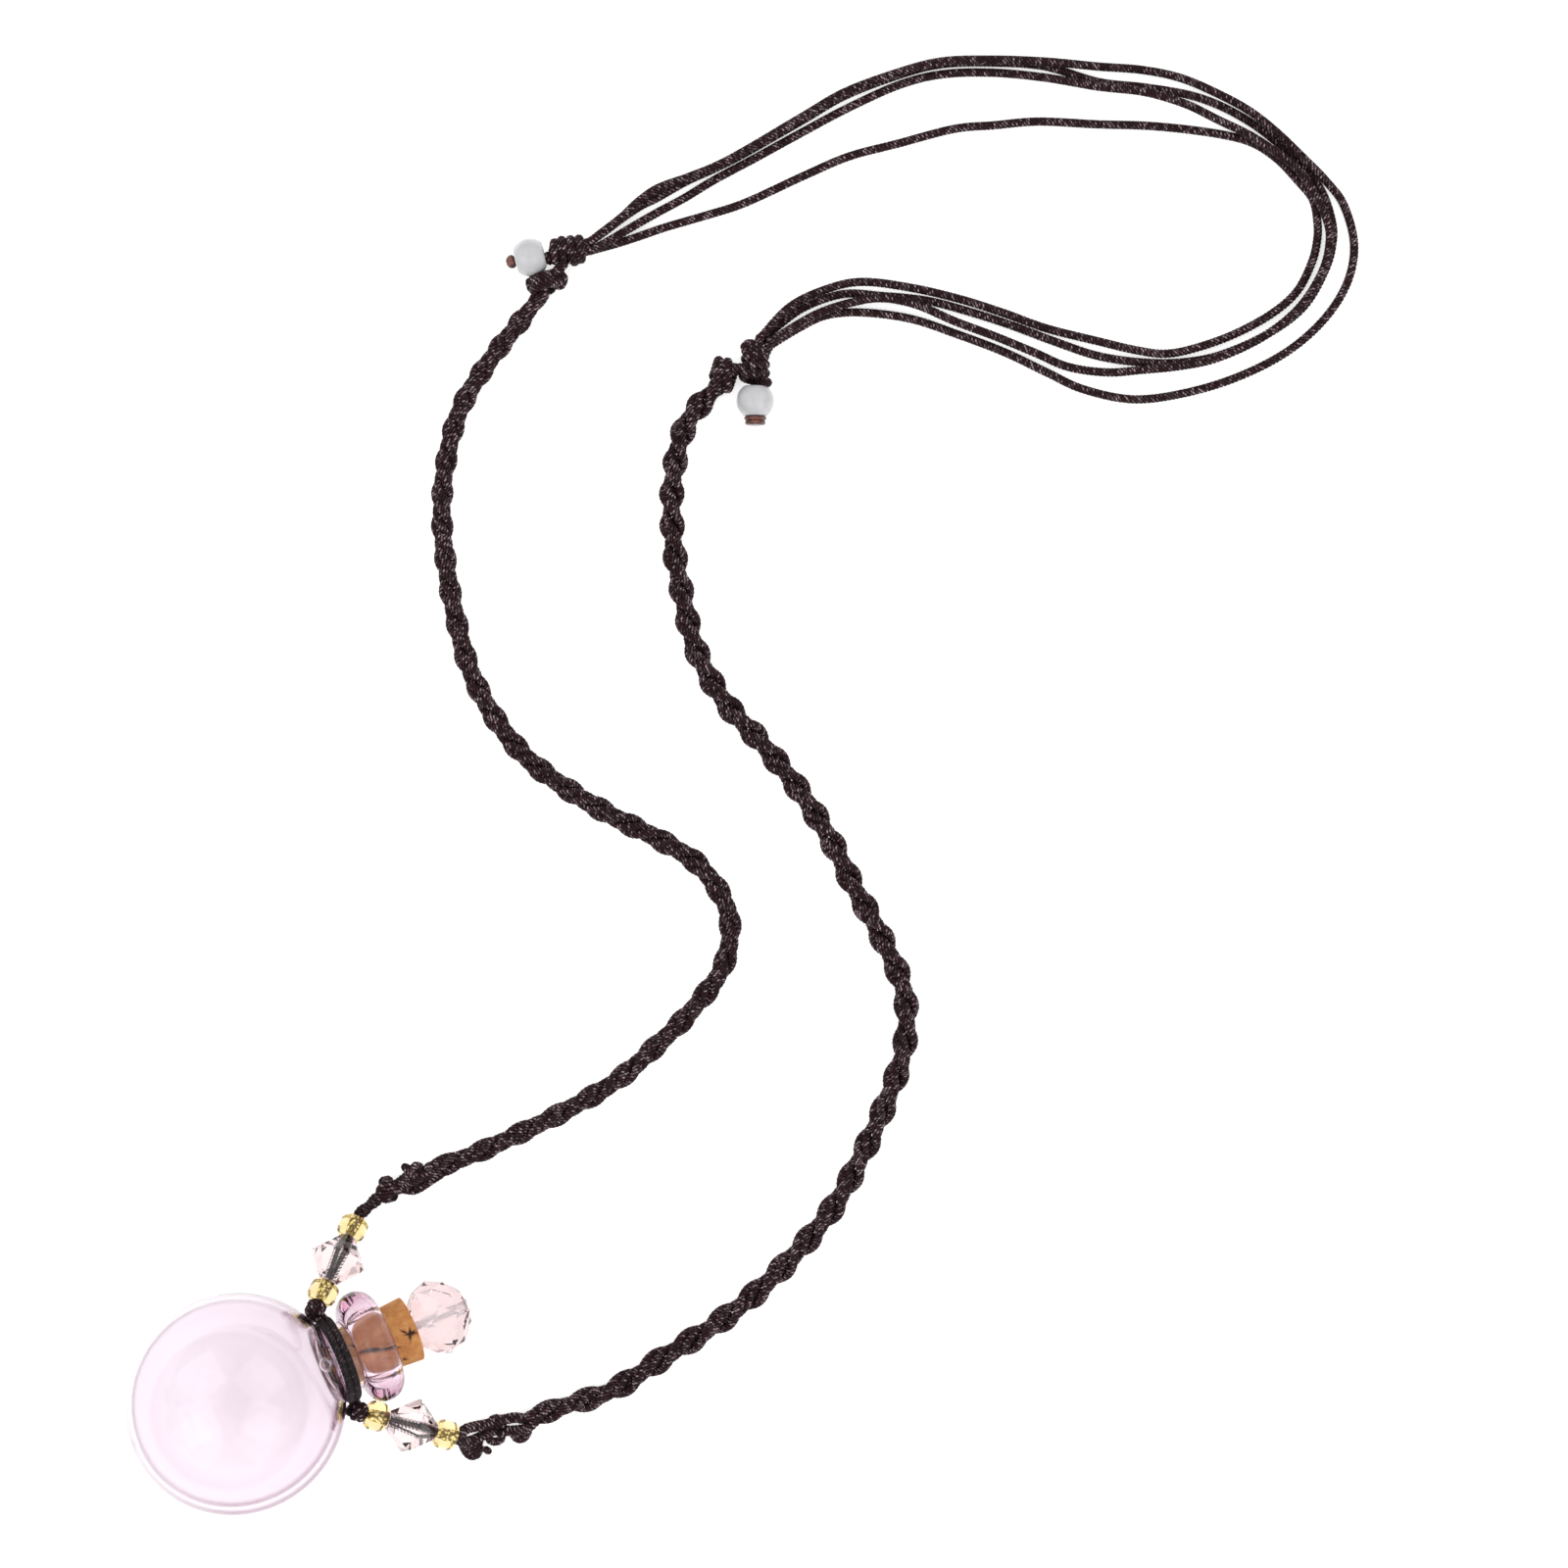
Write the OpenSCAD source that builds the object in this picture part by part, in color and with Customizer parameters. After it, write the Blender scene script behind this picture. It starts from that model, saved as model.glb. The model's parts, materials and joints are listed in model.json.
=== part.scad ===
// A bottle pendant on a long braided necklace, lying as it rests on a table.
// Millimetres. Z is up, the table is at Z = 0, and the origin is under the middle of the necklace.

/* [Bottle] */
// Outer diameter of the glass ball
ball_d = 23; // [18:0.5:30]
// Thickness of the ball's glass
glass_wall = 0.7; // [0.5:0.1:1.2]
// Outer diameter of the glass neck
neck_d = 7.5; // [7:0.1:9]
// Height of the neck between the ball and the lip
neck_h = 1.7; // [1.5:0.1:5]
// Outer diameter of the thick lip
lip_d = 12.2; // [10:0.1:15]
// Height of the lip
lip_h = 4; // [4:0.1:6]
// Radius of the lip's rounded edges
lip_round = 1.9; // [0.5:0.1:1.9]
// Direction in which the neck points on the table, in degrees from +X
bottle_yaw = 21; // [16:1:26]

/* [Stopper] */
// Diameter of the cork at its inner end
cork_inner_d = 5.8; // [4.5:0.1:6]
// Diameter of the cork at its outer end
cork_outer_d = 7.1; // [6.5:0.1:8]
// Length of the cork
cork_h = 8.3; // [7:0.1:10]
// Length of cork inside the neck
cork_depth = 5.5; // [4:0.1:6]
// Gap all round between the cork and the glass
cork_fit = 0.05; // [0.02:0.01:0.1]
// Diameter of the faceted bead on the cork
stopper_bead_d = 8.3; // [6:0.1:10]
// Length of the faceted bead along the pin
stopper_bead_h = 6; // [5:0.1:8]
// Number of facets round the stopper bead
stopper_bead_sides = 10; // [8:1:14]
// Diameter of the pin through the bead and the cork
pin_d = 0.8; // [0.6:0.05:1]
// Gap all round between the pin and what it passes through
pin_fit = 0.06; // [0.04:0.01:0.1]
// Diameter of the pin's flat head
pin_head_d = 2; // [1.4:0.1:3]
// Thickness of the pin's flat head
pin_head_h = 0.35; // [0.2:0.05:0.6]
// Outer diameter of the pin's eye inside the bottle
pin_eye_d = 1.7; // [1.5:0.1:2.5]
// Thickness of the eye's wire
pin_eye_wire = 0.5; // [0.3:0.05:0.5]

/* [Beads] */
// Diameter of the small gold-lined beads
gold_d = 3.1; // [2.4:0.1:4]
// Length of the small gold-lined beads
gold_h = 2.35; // [1.6:0.05:3]
// Radius of the gold-lined beads' rounded edges
gold_round = 0.7; // [0.2:0.05:0.75]
// Diameter of the pointed crystal beads
crystal_d = 6; // [4:0.1:7]
// Length of the pointed crystal beads
crystal_h = 5.5; // [4:0.1:7]
// Number of facets round a crystal bead
crystal_sides = 8; // [8:1:12]
// Diameter of the crystal beads' flat ends
crystal_end_d = 1.9; // [1.8:0.1:2.4]
// Width of the narrow band round a crystal bead's middle
crystal_band = 0.2; // [0.1:0.05:0.5]
// Diameter of the holes in the gold-lined and crystal beads
bead_bore = 1.3; // [1.2:0.05:1.4]
// Gap between neighbours on the bead strings
bead_gap = 0.12; // [0.1:0.01:0.3]
// Diameter of the milky end beads
end_bead_d = 4.1; // [3:0.1:4.2]
// Length of the milky end beads along their hole
end_bead_h = 3.2; // [2.4:0.1:3.4]
// Diameter of the holes in the milky end beads
end_bead_bore = 1.3; // [1.2:0.05:1.5]

/* [Cords and knots] */
// Diameter of the strand that is wound round the bottle's neck
neck_cord_d = 0.85; // [0.6:0.05:1.1]
// Distance between the two turns on the bottle's neck
neck_cord_pitch = 0.7; // [0.5:0.05:0.9]
// Diameter of the thread inside the beads
thread_d = 1; // [0.7:0.05:1.1]
// Diameter of one strand of a braid
braid_strand_d = 0.75; // [0.6:0.05:0.8]
// Mean length of one lobe of the twisted braid
braid_lobe = 3.85; // [3.5:0.05:4.5]
// Diameter of one strand of the sliding loop
loop_strand_d = 0.9; // [0.7:0.05:0.95]
// Diameter of the cord that the knots are tied with
knot_cord_d = 1; // [0.8:0.05:1.05]
// Diameter of the cord end through a milky bead
tail_d = 1.1; // [0.8:0.05:1.15]
// Gap between soft pieces that meet
cord_gap = 0.1; // [0.1:0.01:0.15]

/* [Hidden] */
$fn = 64;

// Places chosen by hand on the table, one entry for the left side and one for the right
LEFT = 0;
RIGHT = 1;
// Middle of the neck cord, seen from above
neck_at = [-19.8, -52.6];
// How far along the bottle's axis each neck knot lies from the middle of the neck cord
neck_knot_shifts = [-0.35, 0];
// Point that each bead string aims at from its neck knot
string_aims = [[-19.06, -39.48, 2.3], [-8.9, -61.3, 4]];
// First lump of each start knot, where the bead string's thread ends
start_lumps = [[-15.4, -35.4], [-6.4, -63.4]];
// Free end of each start knot's cord
start_stubs = [[-13.45, -32.75, 2], [-4.7, -63.8, 1.1]];
// Middle of each milky end bead
end_beads = [[0.1, 65.3], [24.4, 49.8]];
// Direction from each end bead into its sliding knot, in degrees from +X
slide_turns = [13, 90];
// Direction of each end knot's axis, in degrees from +X
end_knot_turns = [92, -14];
// Point that each end knot's bridge reaches, beside the sliding knot
bridge_ends = [[3.3, 64, 1.9], [22.2, 52.9, 1.9]];

// Middle line of each braid, from its end knot to its start knot
braid_routes = [
  [[2.1, 62.4], [-1, 58.5], [-4.5, 54], [-7.5, 49], [-9, 43.5], [-9.5, 38], [-9, 32], [-8, 26.5], [-6.5, 21],
   [-4, 16], [-0.5, 11.5], [4, 8], [9, 5], [14, 2.5], [18.5, -0.5], [21.5, -5.5], [21, -11], [17.5, -16],
   [13.5, -20], [9.5, -23.5], [4.5, -26.5], [-0.5, -29], [-6, -31.5], [-13, -34.05]],
  [[21.25, 52.5], [17, 47.5], [15.5, 41.5], [15.5, 35], [16.5, 29], [18, 23], [21, 17.5], [25, 13], [29, 8],
   [32.5, 2.5], [35, -2.5], [38, -8], [40.5, -14], [40.5, -20], [38.5, -26], [36, -31.5], [33, -37],
   [29, -42], [24.5, -46.5], [20, -50], [14.5, -53.5], [9, -57], [3, -59], [-3.8, -61.35]]
];

// Middle line of each loop strand, from the left sliding knot to the right one
loop_routes = [
  [[6.58, 66.96, 2.4], [7.62, 67.82, 2.1], [9.97, 69.73, 1.7], [11.87, 71.55, 1.5],
   [13.92, 72.94, 1.45], [17.07, 74.08, 1.45], [20.25, 75.35, 1.45], [23.6, 77.15, 1.45],
   [29.6, 80.7, 1.45], [34.1, 83.3, 1.45], [39.8, 85.4, 1.45], [44.5, 86.6, 1.45], [49.9, 86.8, 1.45],
   [55.6, 86.6, 1.45], [61.5, 86.2, 0.8], [66.3, 85.9, 0.5], [70.5, 85, 0.6], [74.5, 83.2, 1],
   [77.9, 81.2, 1.45], [80.8, 78.9, 1.5], [83.5, 76.3, 1.5], [86.1, 73.8, 1.1], [88.2, 71.2, 0.5],
   [89.3, 66.9, 0.5], [88.5, 62.7, 0.5], [85.9, 58.7, 0.5], [81.8, 55.2, 0.5], [76.4, 52.5, 0.5],
   [70.6, 50.8, 0.5], [65.2, 50.2, 0.5], [59.9, 51.3, 0.5], [56, 53.1, 0.5], [51.4, 55.3, 0.5],
   [46.4, 57.2, 0.5], [41.3, 58.9, 0.5], [36, 59.6, 0.5], [32.1, 59.3, 0.5], [29.1, 57.9, 0.6],
   [26, 55.9, 1.5]],
  [[6.52, 67.13, 1.4], [7.87, 68.13, 1], [10.29, 70.01, 0.7], [12.2, 71.28, 0.5], [13.69, 72, 0.5],
   [16.88, 73.8, 0.5], [20.06, 75.25, 0.5], [23.3, 76.9, 0.5], [29.6, 80.5, 0.5], [34.1, 83.1, 0.5],
   [39.8, 85.3, 0.5], [44.5, 86.5, 0.5], [49.9, 86.7, 0.5], [55.7, 86.3, 0.5], [61.5, 84.6, 0.5],
   [66.6, 84, 0.5], [71.3, 83.2, 0.5], [74.8, 82, 0.5], [78.1, 80.2, 0.5], [81, 78, 0.5],
   [84, 75.3, 0.5], [85.8, 72.7, 0.5], [86.8, 69.9, 0.5], [87, 67.5, 0.5], [86.2, 64.3, 0.5],
   [83.8, 60.2, 0.5], [79.8, 57.2, 0.5], [74.8, 55, 0.5], [70.6, 54.2, 0.5], [66.3, 54.2, 0.5],
   [61.5, 54.9, 0.5], [56.7, 56.5, 0.5], [51.9, 58.3, 0.5], [47.2, 59.8, 0.5], [42.9, 60.9, 0.5],
   [38.1, 61.4, 0.5], [33.9, 61.6, 0.5], [29.8, 60.2, 0.7], [26.9, 58.1, 1], [24.8, 56.1, 1.5]],
  [[6.58, 65.97, 2.4], [8.65, 67.15, 2], [10.85, 68.6, 1.3], [13.69, 70.37, 0.6],
   [16.66, 71.98, 0.5], [20, 74, 0.5], [24.3, 76.3, 0.5], [29.6, 79.2, 0.5], [34.1, 81.6, 0.5],
   [39.8, 84.2, 0.5], [44.5, 85.4, 0.5], [49.9, 85.6, 0.5], [55.6, 85, 0.9], [61.4, 83.9, 1.45],
   [66.5, 83.3, 1.45], [70.9, 82, 1.45], [74.4, 80.3, 1.45], [77.9, 78.6, 1.45], [80.8, 76.7, 1.5],
   [83.1, 74.9, 1.5], [84.7, 72.6, 1.45], [86.1, 69.7, 1.45], [86.5, 67.3, 1.45], [85.7, 63.9, 1.45],
   [83.2, 60, 1.45], [79.4, 56.9, 1.45], [74.5, 54.6, 1.45], [70.5, 53.7, 1.45], [66.2, 53.3, 1.1],
   [62.5, 53.1, 0.6], [58.3, 53.7, 0.6], [54.6, 55.2, 1], [50.3, 56.9, 1.4], [46, 58.5, 1.45],
   [41.8, 60.3, 1.5], [38.1, 61, 1.5], [34.9, 60.6, 1.2], [31.5, 59.5, 1.45], [28.6, 57.9, 1.8],
   [26, 56.1, 2.6]],
  [[6.52, 66.14, 1.4], [9.47, 67.01, 1], [11.57, 67.76, 0.6], [14.75, 68.87, 0.5], [19, 70.11, 0.5],
   [23.3, 71.5, 0.5], [29.6, 74.4, 0.5], [34.5, 76.5, 0.5], [39.8, 77.9, 0.5], [45.9, 79.5, 0.5],
   [50.3, 79.9, 0.5], [55.1, 80.3, 0.5], [61.5, 80, 0.5], [67.5, 79.8, 0.5], [73.7, 79.1, 0.5],
   [78, 78.1, 0.5], [80.9, 76.3, 0.5], [83.2, 73.9, 0.5], [84.8, 71.9, 0.5], [85.3, 69.6, 0.5],
   [85.3, 67.5, 0.5], [84.7, 65, 0.5], [83.1, 61.9, 0.5], [80.4, 59.5, 0.5], [76.4, 57.3, 0.5],
   [72.3, 55.8, 0.6], [68.9, 55.1, 0.8], [65.7, 55.5, 0.6], [61.5, 56.5, 0.5], [55.9, 57.9, 0.5],
   [51.4, 59.5, 0.6], [46.6, 61, 0.8], [41.3, 62.2, 1], [36, 62.8, 1.3], [32.1, 62, 1.4],
   [28.1, 60, 1.8], [24.8, 56.4, 2.5]]
];

// Where the four strands of a braid lie in its cross-section, as shares of a strand's diameter
braid_spots = [[-1.28, -0.3], [-0.42, 0.52], [0.42, -0.52], [1.28, 0.3]];
// Share by which the braid is twisted tighter at its end knot than at its start knot
braid_tightening = 0.14;
// Rings on each lobe and sides of a braid strand
braid_rings = 4;
braid_sides = 5;
// Sides of a loop strand, and the distance between its rings in diameters
loop_sides = 8;
loop_ring_step = 3;

// Profile of the stopper bead: share of the radius and share of the length
stopper_profile = [[0.5, -0.5], [0.86, -0.27], [1, 0], [0.86, 0.27], [0.5, 0.5]];

// Wraps of each sliding knot: distance from the end bead's middle and radius of the wrap's middle line
slide_wraps = [
  [[2.85, 0.95], [3.9, 1.3], [4.9, 1.25], [5.8, 1.15]],
  [[2.3, 1.5], [3.35, 1.2], [4.25, 1.15], [5.1, 1]]
];
// Radius of the solid core inside the sliding knots
slide_core_r = 1.15;
// Radius of the middle line of the wraps in the other knots
end_wrap_r = 1.15;
start_wrap_r = 0.75;
neck_wrap_r = 0.55;
// Distance between the wraps of a knot, as a share of the cord
wrap_pitch = 0.85;
// Button at the end of each tail: diameter and thickness
tip_sizes = [[1.5, 0.9], [2.3, 0.9]];
// Distance between a bead's flat face and the tip or the knot beside it
tip_gap = 0.1;
// Height of the lowest points in the loop's list, and how far a strand there clears the table
loop_low = 0.5;
loop_lift = 0.05;
// Smallest height of the other pieces above the table
lift = 0.1;
// Diameter of a single strand of the start knots
link_d = 0.8;
// Widest part of the doubled thread between a bead string and its start knot
doubled_d = 1.7;
// Extra length of a cut, so that it passes the face it opens
cut = 0.5;
// Half the stretch over which a braid's direction is measured
look = 0.5;

// Places along the bottle's axis, measured from the ball's middle
ball_r = ball_d / 2;
lip_start = ball_r + neck_h;
mouth = lip_start + lip_h;
cork_start = mouth - cork_depth;
cork_end = cork_start + cork_h;
stopper_bead_mid = cork_end + cord_gap + stopper_bead_h / 2;
pin_head_start = stopper_bead_mid + stopper_bead_h / 2 + cord_gap;
pin_bore_d = pin_d + 2 * pin_fit;
pin_eye_r = (pin_eye_d - pin_eye_wire) / 2;
pin_eye_at = cork_start - cord_gap - pin_eye_d / 2;
neck_ring_r = neck_d / 2 + cord_gap + neck_cord_d / 2;
neck_cord_seat = sqrt(pow(ball_r + cord_gap + neck_cord_d / 2, 2) - pow(neck_ring_r, 2));
neck_cord_at = neck_cord_seat + neck_cord_pitch / 2;

// The bottle lies on its ball and on the stopper bead, or on the lip where that is wider
function tilt_onto(reach, radius) =
  asin((ball_r - lift) / norm([reach, radius])) - atan(radius / reach);
stopper_tilts = [for (p = stopper_profile)
  tilt_onto(stopper_bead_mid + p[1] * stopper_bead_h, p[0] * stopper_bead_d / 2)];
lip_tilts = [tilt_onto(lip_start + lip_round, lip_d / 2), tilt_onto(mouth - lip_round, lip_d / 2)];
bottle_tilt = min(concat(stopper_tilts, lip_tilts));
bottle_axis = [cos(bottle_tilt) * cos(bottle_yaw), cos(bottle_tilt) * sin(bottle_yaw), -sin(bottle_tilt)];
ball_centre = [neck_at.x - neck_cord_at * bottle_axis.x, neck_at.y - neck_cord_at * bottle_axis.y, ball_r];
neck_cord_centre = ball_centre + neck_cord_at * bottle_axis;

// How far a knot of equal wraps reaches from its middle, whichever way it lies
function knot_reach(count, radius, cord_d) = norm([radius, (count - 1) / 2 * wrap_pitch * cord_d]) + cord_d / 2;
neck_knot_r = knot_reach(2, neck_wrap_r, neck_cord_d);
neck_knot_end = wrap_pitch * neck_cord_d / 2 + neck_cord_d / 2;
start_knot_r = knot_reach(2, start_wrap_r, knot_cord_d);
end_knot_r = knot_reach(2, end_wrap_r, knot_cord_d);

// Places along a bead string, measured from its neck knot
neck_knot_reach = neck_ring_r + neck_cord_d / 2 + cord_gap + neck_knot_r;
gold_inner_at = neck_knot_end + bead_gap + gold_h / 2;
crystal_at = gold_inner_at + gold_h / 2 + bead_gap + crystal_h / 2;
gold_outer_at = crystal_at + crystal_h / 2 + bead_gap + gold_h / 2;
string_end = gold_outer_at + gold_h / 2;

function unit(v) = v / norm(v);
function neck_knot_at(side) = neck_cord_centre + neck_knot_shifts[side] * bottle_axis
  + (side == LEFT ? 1 : -1) * neck_knot_reach * [-sin(bottle_yaw), cos(bottle_yaw), 0];
function string_axis(side) = unit(string_aims[side] - neck_knot_at(side));

// A smooth curve through hand-chosen points, as many points with the running length of each
function between(a, b, c, d, t) =
  0.5 * (2 * b + (c - a) * t + (2 * a - 5 * b + 4 * c - d) * t * t + (3 * b - a - 3 * c + d) * t * t * t);
function smooth(p, steps) = let (n = len(p)) concat(
  [for (i = [0:n - 2], k = [0:steps - 1])
    between(i > 0 ? p[i - 1] : 2 * p[0] - p[1], p[i], p[i + 1],
            i < n - 2 ? p[i + 2] : 2 * p[n - 1] - p[n - 2], k / steps)],
  [p[n - 1]]);
function running(p) =
  [for (i = 0, s = 0; i < len(p); s = s + (i + 1 < len(p) ? norm(p[i + 1] - p[i]) : 0), i = i + 1) s];
function trace(points) = let (p = smooth(points, 8), s = running(p))
  [for (k = [0:2]) [for (i = [0:len(p) - 1]) [s[i], p[i][k]]]];
function trace_length(t) = t[0][len(t[0]) - 1][0];
function spot(t, s) = [lookup(s, t[0]), lookup(s, t[1]), lookup(s, t[2])];

// Joins rings of points, each with the same number, into one closed solid
module skin(rings) {
  n = len(rings[0]);
  last = (len(rings) - 1) * n;
  polyhedron(
    points = [for (ring = rings) each ring],
    faces = concat(
      [[for (j = [0:n - 1]) j]],
      [for (i = [0:len(rings) - 2], j = [0:n - 1], half = [0, 1])
        let (a = i * n + j, b = i * n + (j + 1) % n)
        half == 0 ? [a, a + n, b + n] : [a, b + n, b]],
      [[for (j = [n - 1:-1:0]) last + j]]));
}

// A tube of round section along a list of middle points
module tube(middle, d, sides) {
  last = len(middle) - 1;
  skin([for (i = [0:last])
    let (t = unit(middle[min(i + 1, last)] - middle[max(i - 1, 0)]),
         across = unit(cross([0, 0, 1], t)),
         up = cross(t, across))
    [for (j = [0:sides - 1])
      middle[i] + d / 2 * (cos(j * 360 / sides) * across + sin(j * 360 / sides) * up)]]);
}

// A faceted stone of rings [share of radius, share of length], each turned half a facet if twisted
module stone(profile, d, h, sides, twist) {
  skin([for (i = [0:len(profile) - 1])
    [for (j = [0:sides - 1])
      let (a = (j - twist * i) * 360 / sides)
      [profile[i][0] * d / 2 * cos(a), profile[i][0] * d / 2 * sin(a), profile[i][1] * h]]]);
}

// Children with their Z axis along a direction, from a point
module facing(p, axis) {
  translate(p) rotate([0, acos(axis.z / norm(axis)), atan2(axis.y, axis.x)]) children();
}

// A round rod from one point to another
module rod(p, q, d) {
  facing(p, q - p) cylinder(d = d, h = norm(q - p));
}

// Cord wound round the Z axis: wraps of [height, radius of the middle line] on a solid core
module wraps(list, cord_d, core_r, core_low) {
  high = list[len(list) - 1][0] + cord_d / 2;
  rotate_extrude() {
    translate([0, core_low]) square([core_r, high - core_low]);
    for (w = list)
      intersection() {
        translate([w[1], w[0]]) circle(d = cord_d);
        translate([0, w[0] - cord_d]) square([w[1] + cord_d, 2 * cord_d]);
      }
  }
}

// A knot of equal wraps about its own middle
module even_wraps(count, radius, cord_d) {
  list = [for (k = [0:count - 1]) [(k - (count - 1) / 2) * wrap_pitch * cord_d, radius]];
  wraps(list, cord_d, radius, list[0][0] - cord_d / 2);
}

// The bottle and its stopper stand along the bottle's axis
module on_bottle() {
  facing(ball_centre, bottle_axis) children();
}

// Thick lip with two rounded edges
module lip() {
  translate([0, 0, lip_start]) rotate_extrude() {
    square([lip_d / 2 - lip_round, lip_h]);
    translate([0, lip_round]) square([lip_d / 2, lip_h - 2 * lip_round]);
    for (height = [lip_round, lip_h - lip_round])
      translate([lip_d / 2 - lip_round, height]) circle(r = lip_round);
  }
}

module bottle() {
  color([0.95, 0.84, 0.97, 0.5]) on_bottle() difference() {
    union() {
      sphere(d = ball_d);
      cylinder(d = neck_d, h = lip_start + lip_h / 2);
      lip();
    }
    sphere(d = ball_d - 2 * glass_wall);
    cylinder(d = cork_inner_d + 2 * cork_fit, h = cork_start + cut);
    translate([0, 0, cork_start])
      cylinder(d1 = cork_inner_d + 2 * cork_fit, d2 = cork_outer_d + 2 * cork_fit, h = cork_h);
  }
}

module cork() {
  color([0.78, 0.54, 0.31]) on_bottle() translate([0, 0, cork_start]) difference() {
    cylinder(d1 = cork_inner_d, d2 = cork_outer_d, h = cork_h);
    translate([0, 0, -cut]) cylinder(d = pin_bore_d, h = cork_h + 2 * cut);
  }
}

module stopper_bead() {
  color([0.98, 0.87, 0.88]) on_bottle() translate([0, 0, stopper_bead_mid]) difference() {
    stone(stopper_profile, stopper_bead_d, stopper_bead_h, stopper_bead_sides, 0.5);
    translate([0, 0, -stopper_bead_h]) cylinder(d = pin_bore_d, h = 2 * stopper_bead_h);
  }
}

// Straight pin with a flat head outside and an eye inside the bottle
module stopper_pin() {
  color([0.6, 0.6, 0.62]) on_bottle() {
    translate([0, 0, pin_eye_at + pin_eye_r])
      cylinder(d = pin_d, h = pin_head_start - pin_eye_at - pin_eye_r + pin_head_h / 2);
    translate([0, 0, pin_head_start]) cylinder(d = pin_head_d, h = pin_head_h);
    translate([0, 0, pin_eye_at]) rotate([90, 0, 0])
      rotate_extrude() translate([pin_eye_r, 0]) circle(d = pin_eye_wire);
  }
}

// Two turns of cord round the bottle's neck
module neck_cord() {
  color([0.16, 0.11, 0.12]) facing(neck_cord_centre, bottle_axis)
    for (turn = [-1, 1])
      translate([0, 0, turn * neck_cord_pitch / 2])
        rotate_extrude() translate([neck_ring_r, 0]) circle(d = neck_cord_d);
}

module neck_knot(side) {
  color([0.18, 0.12, 0.13]) facing(neck_knot_at(side), string_axis(side))
    even_wraps(2, neck_wrap_r, neck_cord_d);
}

// Children at a distance along a bead string
module on_string(side, distance) {
  facing(neck_knot_at(side) + distance * string_axis(side), string_axis(side)) children();
}

// Rounded gold-lined bead
module gold_bead(side, distance) {
  color([0.93, 0.72, 0.3]) on_string(side, distance) difference() {
    rotate_extrude() {
      translate([0, -gold_h / 2]) square([gold_d / 2 - gold_round, gold_h]);
      translate([0, gold_round - gold_h / 2]) square([gold_d / 2, gold_h - 2 * gold_round]);
      for (end = [-1, 1])
        translate([gold_d / 2 - gold_round, end * (gold_h / 2 - gold_round)]) circle(r = gold_round);
    }
    translate([0, 0, -gold_h]) cylinder(d = bead_bore, h = 2 * gold_h);
  }
}

// Pointed crystal bead with a flat table at each end
module crystal(side) {
  end = crystal_end_d / crystal_d;
  band = crystal_band / crystal_h / 2;
  color([0.98, 0.9, 0.9]) on_string(side, crystal_at) difference() {
    stone([[end, -0.5], [1, -band], [1, band], [end, 0.5]], crystal_d, crystal_h, crystal_sides, 0);
    translate([0, 0, -crystal_h]) cylinder(d = bead_bore, h = 2 * crystal_h);
  }
}

// Thread through the three beads, then doubled into a spindle down to the start knot
module bead_thread(side) {
  top = neck_knot_at(side) + (neck_knot_end + cord_gap) * string_axis(side);
  fork = neck_knot_at(side) + (string_end + thread_d / 2) * string_axis(side);
  way = start_lump(side) - fork;
  length = norm(way) - start_knot_r - cord_gap;
  color([0.23, 0.16, 0.17]) {
    rod(top, fork + thread_d / 2 * string_axis(side), thread_d);
    facing(fork, way) {
      cylinder(d1 = 1.1 * thread_d, d2 = doubled_d, h = length / 2);
      translate([0, 0, length / 2]) cylinder(d1 = doubled_d, d2 = thread_d, h = length / 2);
    }
  }
}

function start_lump(side) = let (p = start_lumps[side]) [p.x, p.y, start_wrap_r + knot_cord_d / 2 + lift];

// Lump where the thread is tied, a link to the braid's first wrap, and the cut end of the cord
module start_knot(side) {
  lump = start_lump(side);
  braid_start = trace_end(side);
  color([0.2, 0.14, 0.15]) {
    facing(lump, braid_start - lump) even_wraps(2, start_wrap_r, knot_cord_d);
    rod(lump, braid_start, link_d);
    facing(braid_start, braid_start - braid_inner(side)) even_wraps(1, start_wrap_r, knot_cord_d);
    rod(side == LEFT ? braid_start : lump, start_stubs[side], link_d);
  }
}

// Middle line of a braid, at the height at which its lowest strand clears the table
braid_z = braid_strand_d * (norm(braid_spots[0]) + 0.5) + lift;
function braid_trace(side) = trace([for (p = braid_routes[side]) [p.x, p.y, braid_z]]);
function trace_end(side) = let (r = braid_routes[side], p = r[len(r) - 1]) [p.x, p.y, braid_z];
function braid_inner(side) = let (r = braid_routes[side], p = r[len(r) - 2]) [p.x, p.y, braid_z];
braid_start_gap = end_knot_r + cord_gap;
braid_end_gap = knot_cord_d / 2 + 3 * cord_gap;

// One strand of a braid, which turns left-handed round the braid's middle line
module braid_strand(side, k) {
  t = braid_trace(side);
  length = trace_length(t) - braid_start_gap - braid_end_gap;
  lobes = length / braid_lobe;
  count = ceil(lobes * braid_rings);
  color([0.24, 0.17, 0.17]) tube([for (i = [0:count])
    let (s = braid_start_gap + length * i / count,
         way = unit(spot(t, s + look) - spot(t, s - look)),
         across = [-way.y, way.x, 0],
         share = 1 - i / count,
         turned = 90 + 180 * lobes * share * (1 + braid_tightening * (share - 1)),
         p = braid_spots[k - 1] * braid_strand_d)
    spot(t, s)
      + (p.x * cos(turned) - p.y * sin(turned)) * across
      + [0, 0, p.x * sin(turned) + p.y * cos(turned)]],
    braid_strand_d, braid_sides);
}

// Wraps that close a braid, with a short bridge to the sliding knot
module end_knot(side) {
  route = braid_routes[side];
  middle = [route[0].x, route[0].y, end_wrap_r + knot_cord_d / 2 + lift];
  turn = end_knot_turns[side];
  color([0.2, 0.14, 0.15]) {
    facing(middle, [cos(turn), sin(turn), 0]) even_wraps(2, end_wrap_r, knot_cord_d);
    rod(middle, bridge_ends[side], knot_cord_d);
  }
}

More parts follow.
